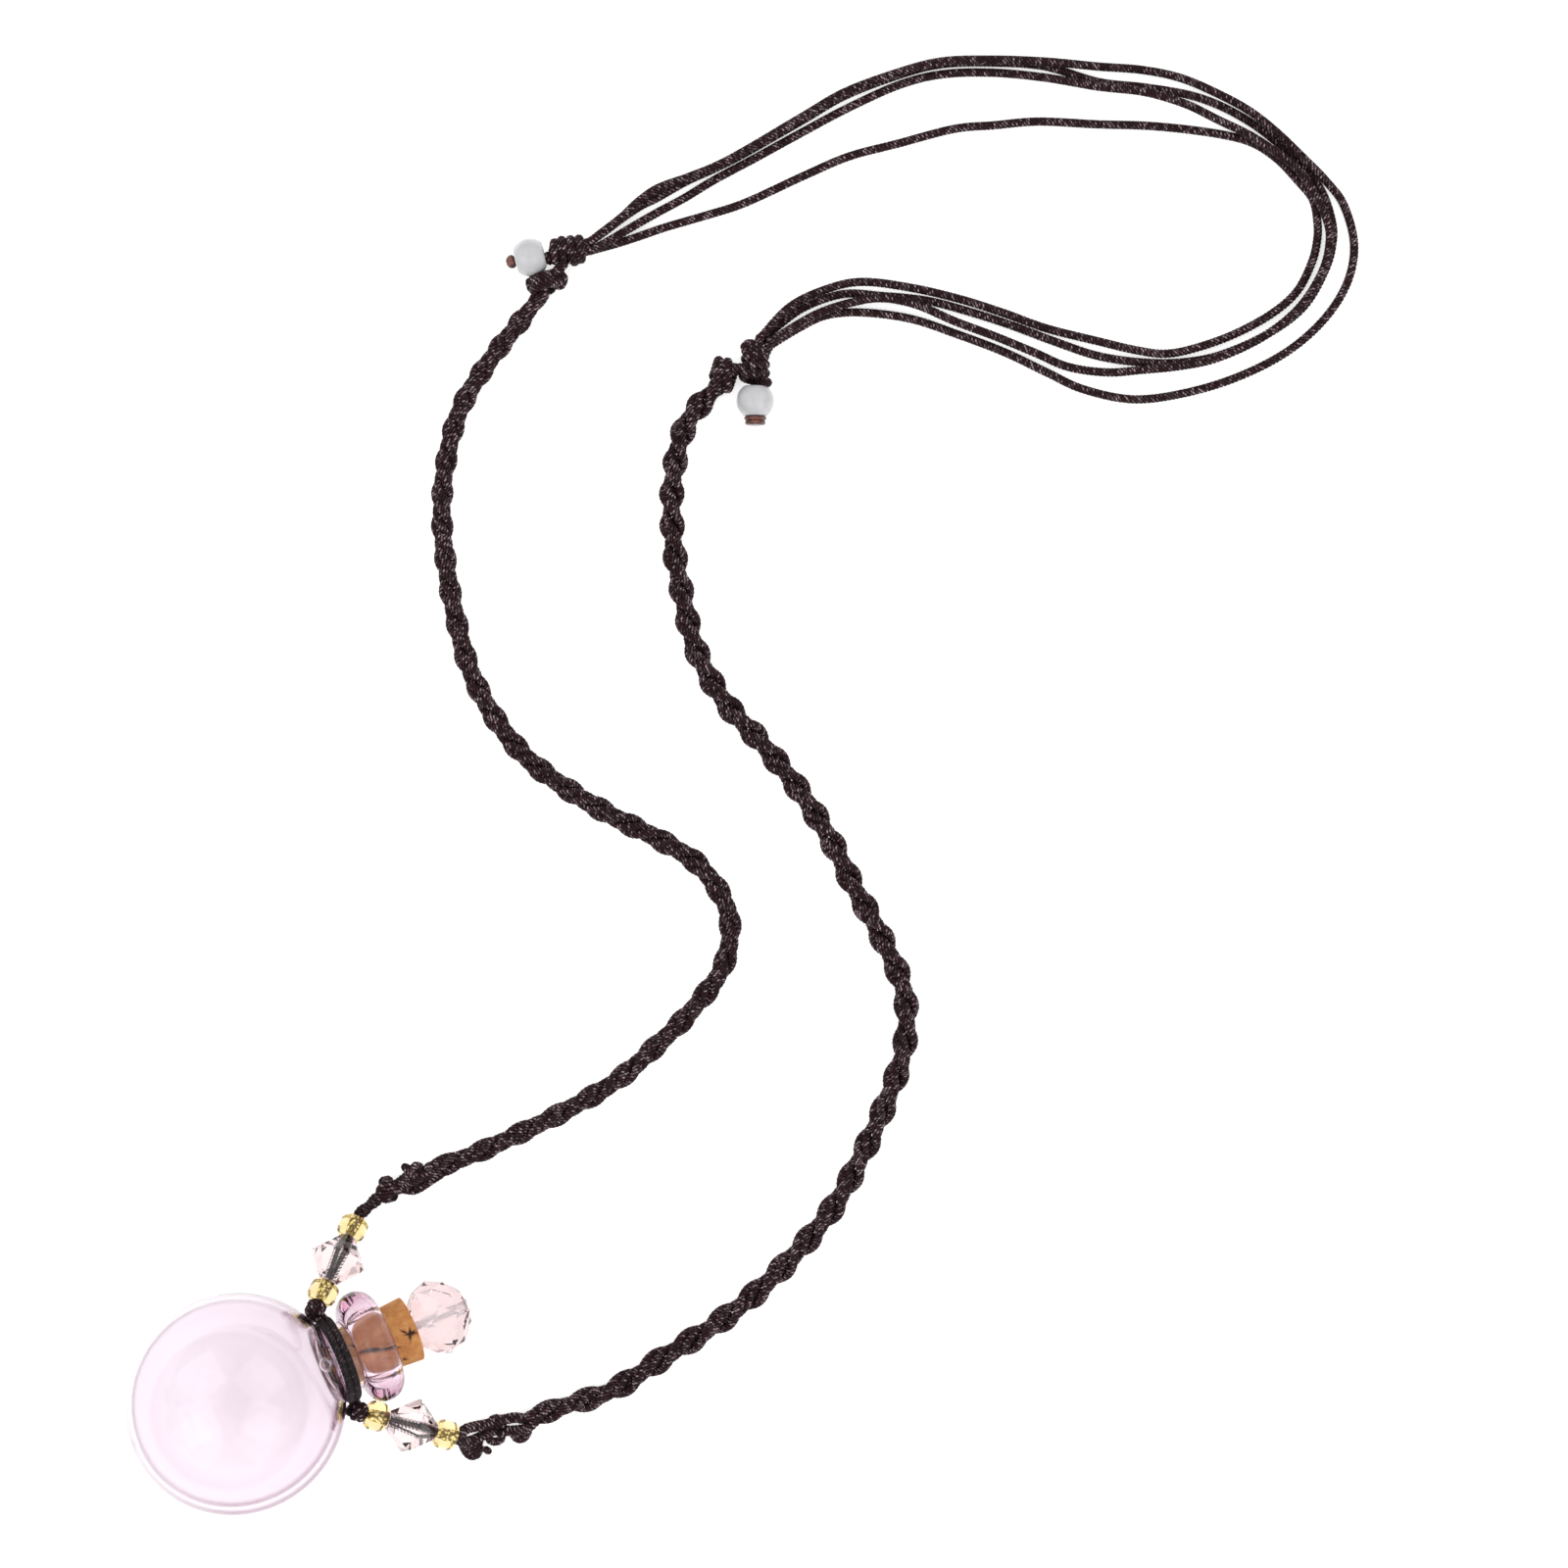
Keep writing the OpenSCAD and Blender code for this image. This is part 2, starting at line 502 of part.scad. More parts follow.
// Children along the axis of an end bead, with +Z towards its sliding knot
module on_end(side) {
  p = end_beads[side];
  turn = slide_turns[side];
  facing([p.x, p.y, end_bead_d / 2 + lift], [cos(turn), sin(turn), 0]) children();
}

// Sliding knot: a stack of wraps that starts beside the end bead
module slide_knot(side) {
  color([0.2, 0.14, 0.15]) on_end(side)
    wraps(slide_wraps[side], knot_cord_d, slide_core_r, end_bead_h / 2 + tip_gap);
}

// Milky round bead with flat ends
module end_bead(side) {
  color([0.93, 0.93, 0.95]) on_end(side) difference() {
    intersection() {
      sphere(d = end_bead_d);
      cube([end_bead_d, end_bead_d, end_bead_h], center = true);
    }
    translate([0, 0, -end_bead_h]) cylinder(d = end_bead_bore, h = 2 * end_bead_h);
  }
}

// Cord end through the bead, melted into a small button
module end_tip(side) {
  face = end_bead_h / 2 + tip_gap;
  size = tip_sizes[side];
  color([0.5, 0.28, 0.2]) on_end(side) {
    translate([0, 0, -face]) cylinder(d = tail_d, h = 2 * face - tip_gap);
    translate([0, 0, -face - size[1]]) cylinder(d = size[0], h = size[1]);
  }
}

// One strand of the sliding loop
module loop_strand(k) {
  rise = loop_strand_d / 2 + loop_lift - loop_low;
  t = trace([for (p = loop_routes[k - 1]) p + [0, 0, rise]]);
  length = trace_length(t);
  count = ceil(length / (loop_ring_step * loop_strand_d));
  color([0.23, 0.15, 0.17])
    tube([for (i = [0:count]) spot(t, length * i / count)], loop_strand_d, loop_sides);
}

bottle();
cork();
stopper_bead();
stopper_pin();
neck_cord();
neck_knot(LEFT);  // neck_knot_left
neck_knot(RIGHT);  // neck_knot_right
gold_bead(LEFT, gold_inner_at);  // gold_bead_inner_left
gold_bead(RIGHT, gold_inner_at);  // gold_bead_inner_right
crystal(LEFT);  // crystal_left
crystal(RIGHT);  // crystal_right
gold_bead(LEFT, gold_outer_at);  // gold_bead_outer_left
gold_bead(RIGHT, gold_outer_at);  // gold_bead_outer_right
bead_thread(LEFT);  // bead_thread_left
bead_thread(RIGHT);  // bead_thread_right
start_knot(LEFT);  // start_knot_left
start_knot(RIGHT);  // start_knot_right
braid_strand(LEFT, 1);  // braid_left_1
braid_strand(LEFT, 2);  // braid_left_2
braid_strand(LEFT, 3);  // braid_left_3
braid_strand(LEFT, 4);  // braid_left_4
braid_strand(RIGHT, 1);  // braid_right_1
braid_strand(RIGHT, 2);  // braid_right_2
braid_strand(RIGHT, 3);  // braid_right_3
braid_strand(RIGHT, 4);  // braid_right_4
end_knot(LEFT);  // end_knot_left
end_knot(RIGHT);  // end_knot_right
slide_knot(LEFT);  // slide_knot_left
slide_knot(RIGHT);  // slide_knot_right
end_bead(LEFT);  // end_bead_left
end_bead(RIGHT);  // end_bead_right
end_tip(LEFT);  // end_tip_left
end_tip(RIGHT);  // end_tip_right
loop_strand(1);  // loop_strand_1
loop_strand(2);  // loop_strand_2
loop_strand(3);  // loop_strand_3
loop_strand(4);  // loop_strand_4
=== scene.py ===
"""Looks of the bottle pendant: woven cords, knots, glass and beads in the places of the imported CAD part.

Lengths are in millimetres up to the point where a mesh is made, which is in metres. The camera, the
floor and the lamps are given in metres.
"""

import json
import math

import bpy
import numpy as np
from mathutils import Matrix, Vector


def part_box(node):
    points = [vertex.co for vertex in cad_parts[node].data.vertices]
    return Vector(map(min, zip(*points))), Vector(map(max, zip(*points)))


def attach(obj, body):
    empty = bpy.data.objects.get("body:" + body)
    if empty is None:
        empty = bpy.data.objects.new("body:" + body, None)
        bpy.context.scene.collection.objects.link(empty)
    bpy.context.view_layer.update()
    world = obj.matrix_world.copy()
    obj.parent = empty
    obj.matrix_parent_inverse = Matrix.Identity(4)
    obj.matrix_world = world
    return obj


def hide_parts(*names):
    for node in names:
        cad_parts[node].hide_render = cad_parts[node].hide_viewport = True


MM = 0.001
UP = np.array([0.0, 0.0, 1.0])
LEFT, RIGHT = 0, 1
SIDES = ["left", "right"]
chance = np.random.default_rng(11)

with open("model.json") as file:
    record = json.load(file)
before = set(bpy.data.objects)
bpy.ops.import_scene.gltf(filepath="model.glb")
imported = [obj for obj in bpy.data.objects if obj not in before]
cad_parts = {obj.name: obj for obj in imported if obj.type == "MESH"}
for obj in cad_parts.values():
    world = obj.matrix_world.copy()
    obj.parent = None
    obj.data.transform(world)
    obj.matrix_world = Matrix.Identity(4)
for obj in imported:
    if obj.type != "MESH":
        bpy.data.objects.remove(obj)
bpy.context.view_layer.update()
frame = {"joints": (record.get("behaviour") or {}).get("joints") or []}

# Points listed in millimetres. The routes are those of the part's source.

# Middle line of each braid, from its end knot to its start knot
BRAID_ROUTES = [
  [[2.1, 62.4], [-1, 58.5], [-4.5, 54], [-7.5, 49], [-9, 43.5], [-9.5, 38], [-9, 32], [-8, 26.5], [-6.5, 21],
   [-4, 16], [-0.5, 11.5], [4, 8], [9, 5], [14, 2.5], [18.5, -0.5], [21.5, -5.5], [21, -11], [17.5, -16],
   [13.5, -20], [9.5, -23.5], [4.5, -26.5], [-0.5, -29], [-6, -31.5], [-13, -34.05]],
  [[21.25, 52.5], [17, 47.5], [15.5, 41.5], [15.5, 35], [16.5, 29], [18, 23], [21, 17.5], [25, 13], [29, 8],
   [32.5, 2.5], [35, -2.5], [38, -8], [40.5, -14], [40.5, -20], [38.5, -26], [36, -31.5], [33, -37],
   [29, -42], [24.5, -46.5], [20, -50], [14.5, -53.5], [9, -57], [3, -59], [-3.8, -61.35]]
]
# Middle line of each loop strand, from the left sliding knot to the right one
LOOP_ROUTES = [
  [[6.58, 66.96, 2.4], [7.62, 67.82, 2.1], [9.97, 69.73, 1.7], [11.87, 71.55, 1.5],
   [13.92, 72.94, 1.45], [17.07, 74.08, 1.45], [20.25, 75.35, 1.45], [23.6, 77.15, 1.45],
   [29.6, 80.7, 1.45], [34.1, 83.3, 1.45], [39.8, 85.4, 1.45], [44.5, 86.6, 1.45], [49.9, 86.8, 1.45],
   [55.6, 86.6, 1.45], [61.5, 86.2, 0.8], [66.3, 85.9, 0.5], [70.5, 85, 0.6], [74.5, 83.2, 1],
   [77.9, 81.2, 1.45], [80.8, 78.9, 1.5], [83.5, 76.3, 1.5], [86.1, 73.8, 1.1], [88.2, 71.2, 0.5],
   [89.3, 66.9, 0.5], [88.5, 62.7, 0.5], [85.9, 58.7, 0.5], [81.8, 55.2, 0.5], [76.4, 52.5, 0.5],
   [70.6, 50.8, 0.5], [65.2, 50.2, 0.5], [59.9, 51.3, 0.5], [56, 53.1, 0.5], [51.4, 55.3, 0.5],
   [46.4, 57.2, 0.5], [41.3, 58.9, 0.5], [36, 59.6, 0.5], [32.1, 59.3, 0.5], [29.1, 57.9, 0.6],
   [26, 55.9, 1.5]],
  [[6.52, 67.13, 1.4], [7.87, 68.13, 1], [10.29, 70.01, 0.7], [12.2, 71.28, 0.5], [13.69, 72, 0.5],
   [16.88, 73.8, 0.5], [20.06, 75.25, 0.5], [23.3, 76.9, 0.5], [29.6, 80.5, 0.5], [34.1, 83.1, 0.5],
   [39.8, 85.3, 0.5], [44.5, 86.5, 0.5], [49.9, 86.7, 0.5], [55.7, 86.3, 0.5], [61.5, 84.6, 0.5],
   [66.6, 84, 0.5], [71.3, 83.2, 0.5], [74.8, 82, 0.5], [78.1, 80.2, 0.5], [81, 78, 0.5],
   [84, 75.3, 0.5], [85.8, 72.7, 0.5], [86.8, 69.9, 0.5], [87, 67.5, 0.5], [86.2, 64.3, 0.5],
   [83.8, 60.2, 0.5], [79.8, 57.2, 0.5], [74.8, 55, 0.5], [70.6, 54.2, 0.5], [66.3, 54.2, 0.5],
   [61.5, 54.9, 0.5], [56.7, 56.5, 0.5], [51.9, 58.3, 0.5], [47.2, 59.8, 0.5], [42.9, 60.9, 0.5],
   [38.1, 61.4, 0.5], [33.9, 61.6, 0.5], [29.8, 60.2, 0.7], [26.9, 58.1, 1], [24.8, 56.1, 1.5]],
  [[6.58, 65.97, 2.4], [8.65, 67.15, 2], [10.85, 68.6, 1.3], [13.69, 70.37, 0.6],
   [16.66, 71.98, 0.5], [20, 74, 0.5], [24.3, 76.3, 0.5], [29.6, 79.2, 0.5], [34.1, 81.6, 0.5],
   [39.8, 84.2, 0.5], [44.5, 85.4, 0.5], [49.9, 85.6, 0.5], [55.6, 85, 0.9], [61.4, 83.9, 1.45],
   [66.5, 83.3, 1.45], [70.9, 82, 1.45], [74.4, 80.3, 1.45], [77.9, 78.6, 1.45], [80.8, 76.7, 1.5],
   [83.1, 74.9, 1.5], [84.7, 72.6, 1.45], [86.1, 69.7, 1.45], [86.5, 67.3, 1.45], [85.7, 63.9, 1.45],
   [83.2, 60, 1.45], [79.4, 56.9, 1.45], [74.5, 54.6, 1.45], [70.5, 53.7, 1.45], [66.2, 53.3, 1.1],
   [62.5, 53.1, 0.6], [58.3, 53.7, 0.6], [54.6, 55.2, 1], [50.3, 56.9, 1.4], [46, 58.5, 1.45],
   [41.8, 60.3, 1.5], [38.1, 61, 1.5], [34.9, 60.6, 1.2], [31.5, 59.5, 1.45], [28.6, 57.9, 1.8],
   [26, 56.1, 2.6]],
  [[6.52, 66.14, 1.4], [9.47, 67.01, 1], [11.57, 67.76, 0.6], [14.75, 68.87, 0.5], [19, 70.11, 0.5],
   [23.3, 71.5, 0.5], [29.6, 74.4, 0.5], [34.5, 76.5, 0.5], [39.8, 77.9, 0.5], [45.9, 79.5, 0.5],
   [50.3, 79.9, 0.5], [55.1, 80.3, 0.5], [61.5, 80, 0.5], [67.5, 79.8, 0.5], [73.7, 79.1, 0.5],
   [78, 78.1, 0.5], [80.9, 76.3, 0.5], [83.2, 73.9, 0.5], [84.8, 71.9, 0.5], [85.3, 69.6, 0.5],
   [85.3, 67.5, 0.5], [84.7, 65, 0.5], [83.1, 61.9, 0.5], [80.4, 59.5, 0.5], [76.4, 57.3, 0.5],
   [72.3, 55.8, 0.6], [68.9, 55.1, 0.8], [65.7, 55.5, 0.6], [61.5, 56.5, 0.5], [55.9, 57.9, 0.5],
   [51.4, 59.5, 0.6], [46.6, 61, 0.8], [41.3, 62.2, 1], [36, 62.8, 1.3], [32.1, 62, 1.4],
   [28.1, 60, 1.8], [24.8, 56.4, 2.5]]
]
# Width of each braid as a share of its full width: shares of its length from the start knot, and widths
BRAID_WIDTHS = [[[0, 0.5, 0.8, 0.97, 1], [0.78, 0.88, 0.8, 0.75, 0.4]],
                [[0, 0.03, 0.1, 0.985, 1], [0.72, 0.88, 0.96, 0.95, 0.6]]]
# Places of a braid's strands in its cross-section, and the height of its middle line
BRAID_SPOTS = [[[-1.2, -0.35], [-0.4, 0.75], [0.4, -0.75], [1.2, 0.35]],
               [[-1.28, -0.3], [-0.42, 0.56], [0.42, -0.56], [1.28, 0.3]]]
BRAID_Z = 1.461
# Turns of the sliding knots, one by one: along the end bead's axis, radius and sideways, and their lean
SLIDE_WRAPS = [
  [[2.15, 0.75, 0], [2.9, 1.02, 0], [3.75, 1.05, -0.05], [4.75, 1.15, -0.36], [5.6, 1.05, -0.36]],
  [[2.0, 1.5, 0.1], [3.0, 1.1, 0], [3.95, 1.1, 0], [4.8, 1.05, 0], [5.5, 0.75, 0]]
]
SLIDE_LEANS = [0.3, 0.1]
# Wraps of the end knots: middle, direction of their axis, how much wider than high, and pitch
END_WRAPS = [[[1.84, 62.9, 1.75], 99.7, 0.4, 0.8], [[21, 52.7, 1.75], -10, 0.3, 0.95]]
# Cords that lead out of the end knots, one by one: diameter, and points
END_CORDS = [
  [[0.9, [[-0.01, 62.72, 1.7], [0.25, 62.01, 1.4], [1.02, 61.61, 1.5], [1.79, 61.87, 1.7]]],
   [0.9, [[3.34, 63.58, 2.2], [3.73, 63.08, 1.8], [3.37, 62.4, 1.3], [2.79, 62.51, 1.2]]],
   [1.1, [[2.3, 63.11, 2.2], [3.16, 63.93, 2.4], [3.82, 64.69, 2.4]]]],
  [[1.3, [[21.6, 53.2, 1.9], [22.67, 53.24, 2.1], [23.52, 53.37, 2.2]]],
   [0.95, [[23.43, 54.94, 2.6], [23.29, 55.64, 2.7], [23.85, 55.98, 2.6], [24.56, 55.57, 2.5]]]]
]
# Cords between the bead strings and the braids, one by one: diameter, and points
START_CORDS = [
  [[1.0, [[-14.96, -35.04, 1.5], [-14.13, -34.54, 1.7], [-13.43, -33.98, 1.9], [-12.88, -33.63, 2],
          [-12.34, -33.36, 2]]],
   [0.95, [[-14.81, -35.76, 1.1], [-14, -35.36, 1.1], [-13.26, -35.44, 1], [-12.66, -35.51, 1],
           [-11.9, -35.22, 1.1], [-11.07, -34.66, 1.3], [-10.23, -34.09, 1.5], [-9.55, -33.67, 1.6]]],
   [0.95, [[-13.16, -33.91, 1.9], [-12.61, -33.09, 2], [-12.27, -32.75, 2], [-11.88, -32.83, 1.9],
           [-11.63, -33.39, 1.7]]],
   [0.95, [[-12.46, -33.75, 2.1], [-12.92, -33.2, 2.2], [-13.36, -32.83, 2.2]]],
   [1.15, [[-14.1, -35.05, 1.4], [-13.19, -34.72, 1.4], [-12.24, -34.2, 1.7], [-11.22, -33.66, 1.7],
           [-10.3, -33.3, 1.6]]]],
  [[1.15, [[-7.46, -61.5, 3.2], [-6.7, -60.94, 2.9], [-5.69, -60.73, 2.5], [-4.59, -60.58, 2.1],
           [-3.65, -60.32, 1.9], [-2.62, -60.15, 1.6], [-1.56, -59.94, 1.7], [-0.51, -60.06, 1.6],
           [0.43, -59.68, 1.3]]],
   [1.15, [[-7.48, -62.15, 3], [-6.49, -62.36, 2.4], [-5.41, -62.05, 1.8], [-4.56, -61.55, 1.5],
          [-3.79, -61.4, 1.3], [-2.92, -61.42, 1.2], [-2.01, -61.4, 1.5], [-0.93, -61.22, 1.9],
          [-0.14, -60.97, 1.9], [0.72, -60.24, 1.6]]],
   [0.9, [[-6.7, -62.8, 1.9], [-6.3, -63.4, 1.5], [-6, -62.9, 1.9]]],
   [1.1, [[-7.17, -62.14, 2.6], [-6.96, -63.29, 1.7], [-6.44, -64.07, 1.1], [-5.72, -63.9, 1.3],
          [-5.58, -62.99, 1.9], [-5.5, -62.3, 1.8]]],
   [0.9, [[-4.46, -61.73, 1.6], [-4.34, -62.47, 1], [-3.74, -62.72, 0.8], [-3.1, -62.36, 1.1],
          [-3.14, -61.54, 1.7]]],
   [0.9, [[-4.24, -60.67, 2.1], [-3.91, -60.09, 1.9], [-3.27, -60.06, 1.8], [-2.89, -60.7, 1.5]]],
   [0.9, [[-1.77, -61.79, 1.3], [-1.36, -62.4, 0.9], [-0.65, -62.29, 1], [-0.17, -61.58, 1.5]]],
   [0.6, [[-5.78, -63.66, 1.6], [-5.06, -63.32, 1.8], [-4.51, -63.41, 1.7]]],
   [0.8, [[-4.66, -63.41, 1.7], [-4.44, -63.57, 1.6]]]]
]
# How much sooner each braid ends at its start knot, where its strands part
BRAID_SHORTER = [2.3, 4.0]
# Middles of the end beads, and the direction from each to its sliding knot in degrees
END_BEADS = [[0.1, 65.3, 2.15], [24.4, 49.8, 2.15]]
SLIDE_TURNS = [13, 90]
# Middle and axis of the lump of two wraps in which the left string's thread ends
LUMP, LUMP_AXIS = [-15.4, -35.4, 1.35], [0.54, -0.84, 0]
# Shift of each neck knot along the bottle's axis, and the point at which each bead string aims
NECK_KNOT_SHIFTS = [-0.35, 0]
STRING_AIMS = [[-19.06, -39.48, 2.3], [-8.9, -61.3, 4]]

# The bottle: its axis, the ball's radii and middle, places along the axis from there and distances off it
BOTTLE_AXIS = np.array(frame["joints"][0]["axis"], float)
BALL_R, HOLLOW_R = 11.5, 10.8
BALL_CENTRE = np.array(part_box("bottle")[0]) / MM + BALL_R
NECK_CORD_AT, EYE_AT, STOPPER_AT = 11.589, 10.4, 23.1
NECK_RING_R, NECK_KNOT_OFF = 4.275, 5.885
# Places along a bead string from its neck knot
GOLD_AT = {"inner": 2.08, "outer": 10.17}
CRYSTAL_AT, THREAD_START, THREAD_END = 6.126, 1.04, 12.0
# The bundle of strands in a sliding knot: where it begins and comes out, from the end bead, and its radius
BUNDLE_AT, BUNDLE_OUT_AT, BUNDLE_R = 3.2, 6.3, 0.45
# Diameters of the cords
LOOP_D, STRAND_D, NECK_RING_D, NECK_WRAP_D, NECK_TIE_D = 0.9, 0.9, 0.85, 0.95, 0.8
DOUBLED_D, LUMP_D, END_WRAP_D, SLIDE_WRAP_D, TIP_D = 1.02, 1.15, 1.08, 1.0, 1.1
# Diameter of the bead thread, by lengths along it
THREAD_WIDTHS = [[0, 0.8], [2.05, 0.8], [2.3, 1.06], [7.75, 1.06], [8.1, 0.8], [10.1, 0.8], [10.4, 1.1]]
# The weave: points round a cord, rings to a stitch, length and height of a stitch, also on the bead thread
ROUND, STITCH_RINGS, STITCH = 12, 4, 0.44
WEAVE_HEIGHT, THREAD_WEAVE_HEIGHT = 0.045, 0.02
# How deep the ends of wound cord are tucked in, and over which part of a turn
TUCK, TUCK_TURN = 0.3, 0.2
# A braid: where it starts, its strands' spread, the length of a lobe, and how much tighter the end knot's
# side of it is
BRAID_START, BRAID_SPREAD, LOBE, TIGHTER = 1.0, 0.75, 3.85, 0.14
# Middle of the photo's view on the table and the camera's height, in metres
VIEW_MIDDLE, CAMERA_HEIGHT = (0.0275, 0.0085), 0.35


# Lines and places

def unit(v):
    """Vectors of length 1 in the same directions."""
    return v / np.linalg.norm(v, axis=-1, keepdims=True)


def smooth(points):
    """A line through all the points, in 24 steps from each to the next: a cubic over each span, whose
    slope at a point is half the way from the point before it to the one after, with the end points
    mirrored outwards."""
    p = np.array(points, float)
    p = np.vstack([2 * p[0] - p[1], p, 2 * p[-1] - p[-2]])
    t = (np.arange(24) / 24)[None, :, None]
    a, b, c, d = (p[k:len(p) - 3 + k, None, :] for k in range(4))
    line = 0.5 * (2 * b + (c - a) * t + (2 * a - 5 * b + 4 * c - d) * t ** 2
                  + (3 * b - a - 3 * c + d) * t ** 3)
    return np.vstack([line.reshape(-1, p.shape[1]), p[-2]])


def running(line):
    """Length of the line up to each of its points."""
    return np.concatenate([[0], np.cumsum(np.linalg.norm(np.diff(line, axis=0), axis=1))])


def spot(line, at):
    """Points of the line at the given running lengths."""
    s = running(line)
    return np.stack([np.interp(at, s, line[:, k]) for k in range(line.shape[1])], -1)


class Place:
    """A point with an axis w, a level direction u across it, and v square to both, towards the sky.
    Angles go round the axis from u, so that 90 degrees is the side nearest the sky."""

    def __init__(self, centre, axis):
        self.centre, self.w = np.array(centre, float), unit(np.array(axis, float))
        self.u = unit(np.cross(UP, self.w))
        self.v = np.cross(self.w, self.u)

    def at(self, along, radius=0.0, degrees=0.0):
        """Points at the given lengths along the axis, distances from it and angles round it."""
        angle = np.radians(np.asarray(degrees, float))[..., None]
        along, radius = np.asarray(along, float)[..., None], np.asarray(radius, float)[..., None]
        return self.centre + along * self.w + radius * (np.cos(angle) * self.u + np.sin(angle) * self.v)


def flat_axis(degrees):
    """A direction in the table's plane."""
    return [math.cos(math.radians(degrees)), math.sin(math.radians(degrees)), 0.0]


ON_BOTTLE = Place(BALL_CENTRE, BOTTLE_AXIS)
neck_middle = BALL_CENTRE + NECK_CORD_AT * BOTTLE_AXIS
across_neck = unit(np.array([-BOTTLE_AXIS[1], BOTTLE_AXIS[0], 0]))
NECK_KNOTS = [neck_middle + shift * BOTTLE_AXIS + sign * NECK_KNOT_OFF * across_neck
              for shift, sign in zip(NECK_KNOT_SHIFTS, (1, -1))]
STRINGS = [Place(knot, np.array(aim) - knot) for knot, aim in zip(NECK_KNOTS, STRING_AIMS)]
ON_END = [Place(middle, flat_axis(turn)) for middle, turn in zip(END_BEADS, SLIDE_TURNS)]


# Shapes

def quads(rings, sides, closed=False):
    """Four-cornered faces between rings of points. If closed, the last ring is joined to the first."""
    i = np.arange(rings if closed else rings - 1)[:, None]
    j = np.arange(sides)[None, :]
    ring, after, beside = i * sides, (i + 1) % rings * sides, (j + 1) % sides
    return np.stack([ring + j, ring + beside, after + beside, after + j], -1).reshape(-1, 4)


class Shape:
    """Gathers closed surfaces in millimetres and makes one mesh of them."""

    def __init__(self):
        self.points, self.faces, self.finish, self.soft, self.crest, self.glint = [], [], [], [], [], []
        self.count = 0

    def add(self, points, faces, finish=0, soft=True, crest=0.0, glint=0.0):
        """Adds a surface. Its finish is one number or one for each face, and its crest and glint are
        one number or one for each point."""
        points = np.asarray(points, float).reshape(-1, 3)
        for corners in faces:
            self.faces.append(np.asarray(corners, int) + self.count)
            self.finish.append(np.broadcast_to(np.ravel(finish), len(corners)))
            self.soft.append(np.full(len(corners), soft))
        self.points.append(points)
        self.crest.append(np.broadcast_to(np.ravel(crest), len(points)))
        self.glint.append(np.broadcast_to(np.ravel(glint), len(points)))
        self.count += len(points)

    def make(self, name, materials, slot, node, body="necklace"):
        """Makes the mesh, as a piece that stands for a node of the part and moves with a body."""
        mesh = bpy.data.meshes.new(name)
        points = np.concatenate(self.points) * MM
        sizes = np.concatenate([np.full(len(f), f.shape[1]) for f in self.faces])
        corners = np.concatenate([f.ravel() for f in self.faces])
        mesh.vertices.add(len(points))
        mesh.vertices.foreach_set("co", points.astype(np.float32).ravel())
        mesh.loops.add(len(corners))
        mesh.loops.foreach_set("vertex_index", corners.astype(np.int32))
        mesh.polygons.add(len(sizes))
        mesh.polygons.foreach_set("loop_start", (np.cumsum(sizes) - sizes).astype(np.int32))
        mesh.polygons.foreach_set("material_index", np.concatenate(self.finish).astype(np.int32))
        mesh.polygons.foreach_set("use_smooth", np.concatenate(self.soft))
        for mark, values in (("crest", self.crest), ("glint", self.glint)):
            layer = mesh.attributes.new(mark, "FLOAT", "POINT")
            layer.data.foreach_set("value", np.concatenate(values).astype(np.float32))
        mesh.update(calc_edges=True)
        mesh.validate()
        for material in materials:
            mesh.materials.append(material)
        piece = bpy.data.objects.new(name, mesh)
        bpy.context.scene.collection.objects.link(piece)
        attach(piece, body)
        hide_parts(node)
        return piece


def cord(shape, line, diameter, up=UP, closed=False, weave_height=WEAVE_HEIGHT):
    """Woven cord: every 0.11 mm a ring of 12 points square to the line, at half the diameter plus the
    weave's height times a cosine, with a crest on each fourth ring and the opposite on every other side.
    Each open end is closed by two smaller rings on a half ball. The diameter is one number, or a list of
    [length, diameter] with straight changes between. The crest mark is the weave from 0 to 1, and the
    glint mark a random number to the fourth power on its crests. Returns the middles of the rings."""
    length = running(line)[-1]
    at = np.linspace(0, length, STITCH_RINGS * max(2, round(length / STITCH)) + 1)
    if closed:
        at = at[:-1]
    middle = spot(line, at)
    way = unit(np.roll(middle, -1, 0) - np.roll(middle, 1, 0) if closed else np.gradient(middle, axis=0))
    across = unit(up - (way * up).sum(-1, keepdims=True) * way)
    over = np.cross(way, across)
    weave = np.cos(2 * np.pi / STITCH_RINGS * np.arange(len(at)))[:, None] * (-1.0) ** np.arange(ROUND)
    widths = np.array([[0, diameter]] if np.ndim(diameter) == 0 else diameter, float)
    half = np.interp(at, widths[:, 0], widths[:, 1]) / 2
    centres, radius, crest = middle, half[:, None] + weave_height * weave, (weave + 1) / 2
    if not closed:
        lift = np.radians([75, 45])
        radius = np.vstack([np.outer(np.cos(lift), np.full(ROUND, half[0])), radius,
                            np.outer(np.cos(lift[::-1]), np.full(ROUND, half[-1]))])
        centres = np.vstack([middle[0] - np.outer(np.sin(lift), way[0]) * half[0], middle,
                             middle[-1] + np.outer(np.sin(lift[::-1]), way[-1]) * half[-1]])
        across, over = (np.pad(side, ((2, 2), (0, 0)), "edge") for side in (across, over))
        crest = np.pad(crest, ((2, 2), (0, 0)), constant_values=0.3)
    angle = 2 * np.pi * np.arange(ROUND)[:, None] / ROUND
    outwards = np.cos(angle) * across[:, None, :] + np.sin(angle) * over[:, None, :]
    points = centres[:, None, :] + radius[:, :, None] * outwards
    faces = [quads(len(centres), ROUND, closed)]
    if not closed:
        last = (len(centres) - 1) * ROUND
        faces += [np.arange(ROUND)[None, ::-1], last + np.arange(ROUND)[None, :]]
    # Painted glints: random highlights on the crests, which the woven nylon paints
    glint = chance.random(crest.shape) ** 4 * (crest > 0.99)
    shape.add(points, faces, crest=crest, glint=glint)
    return middle


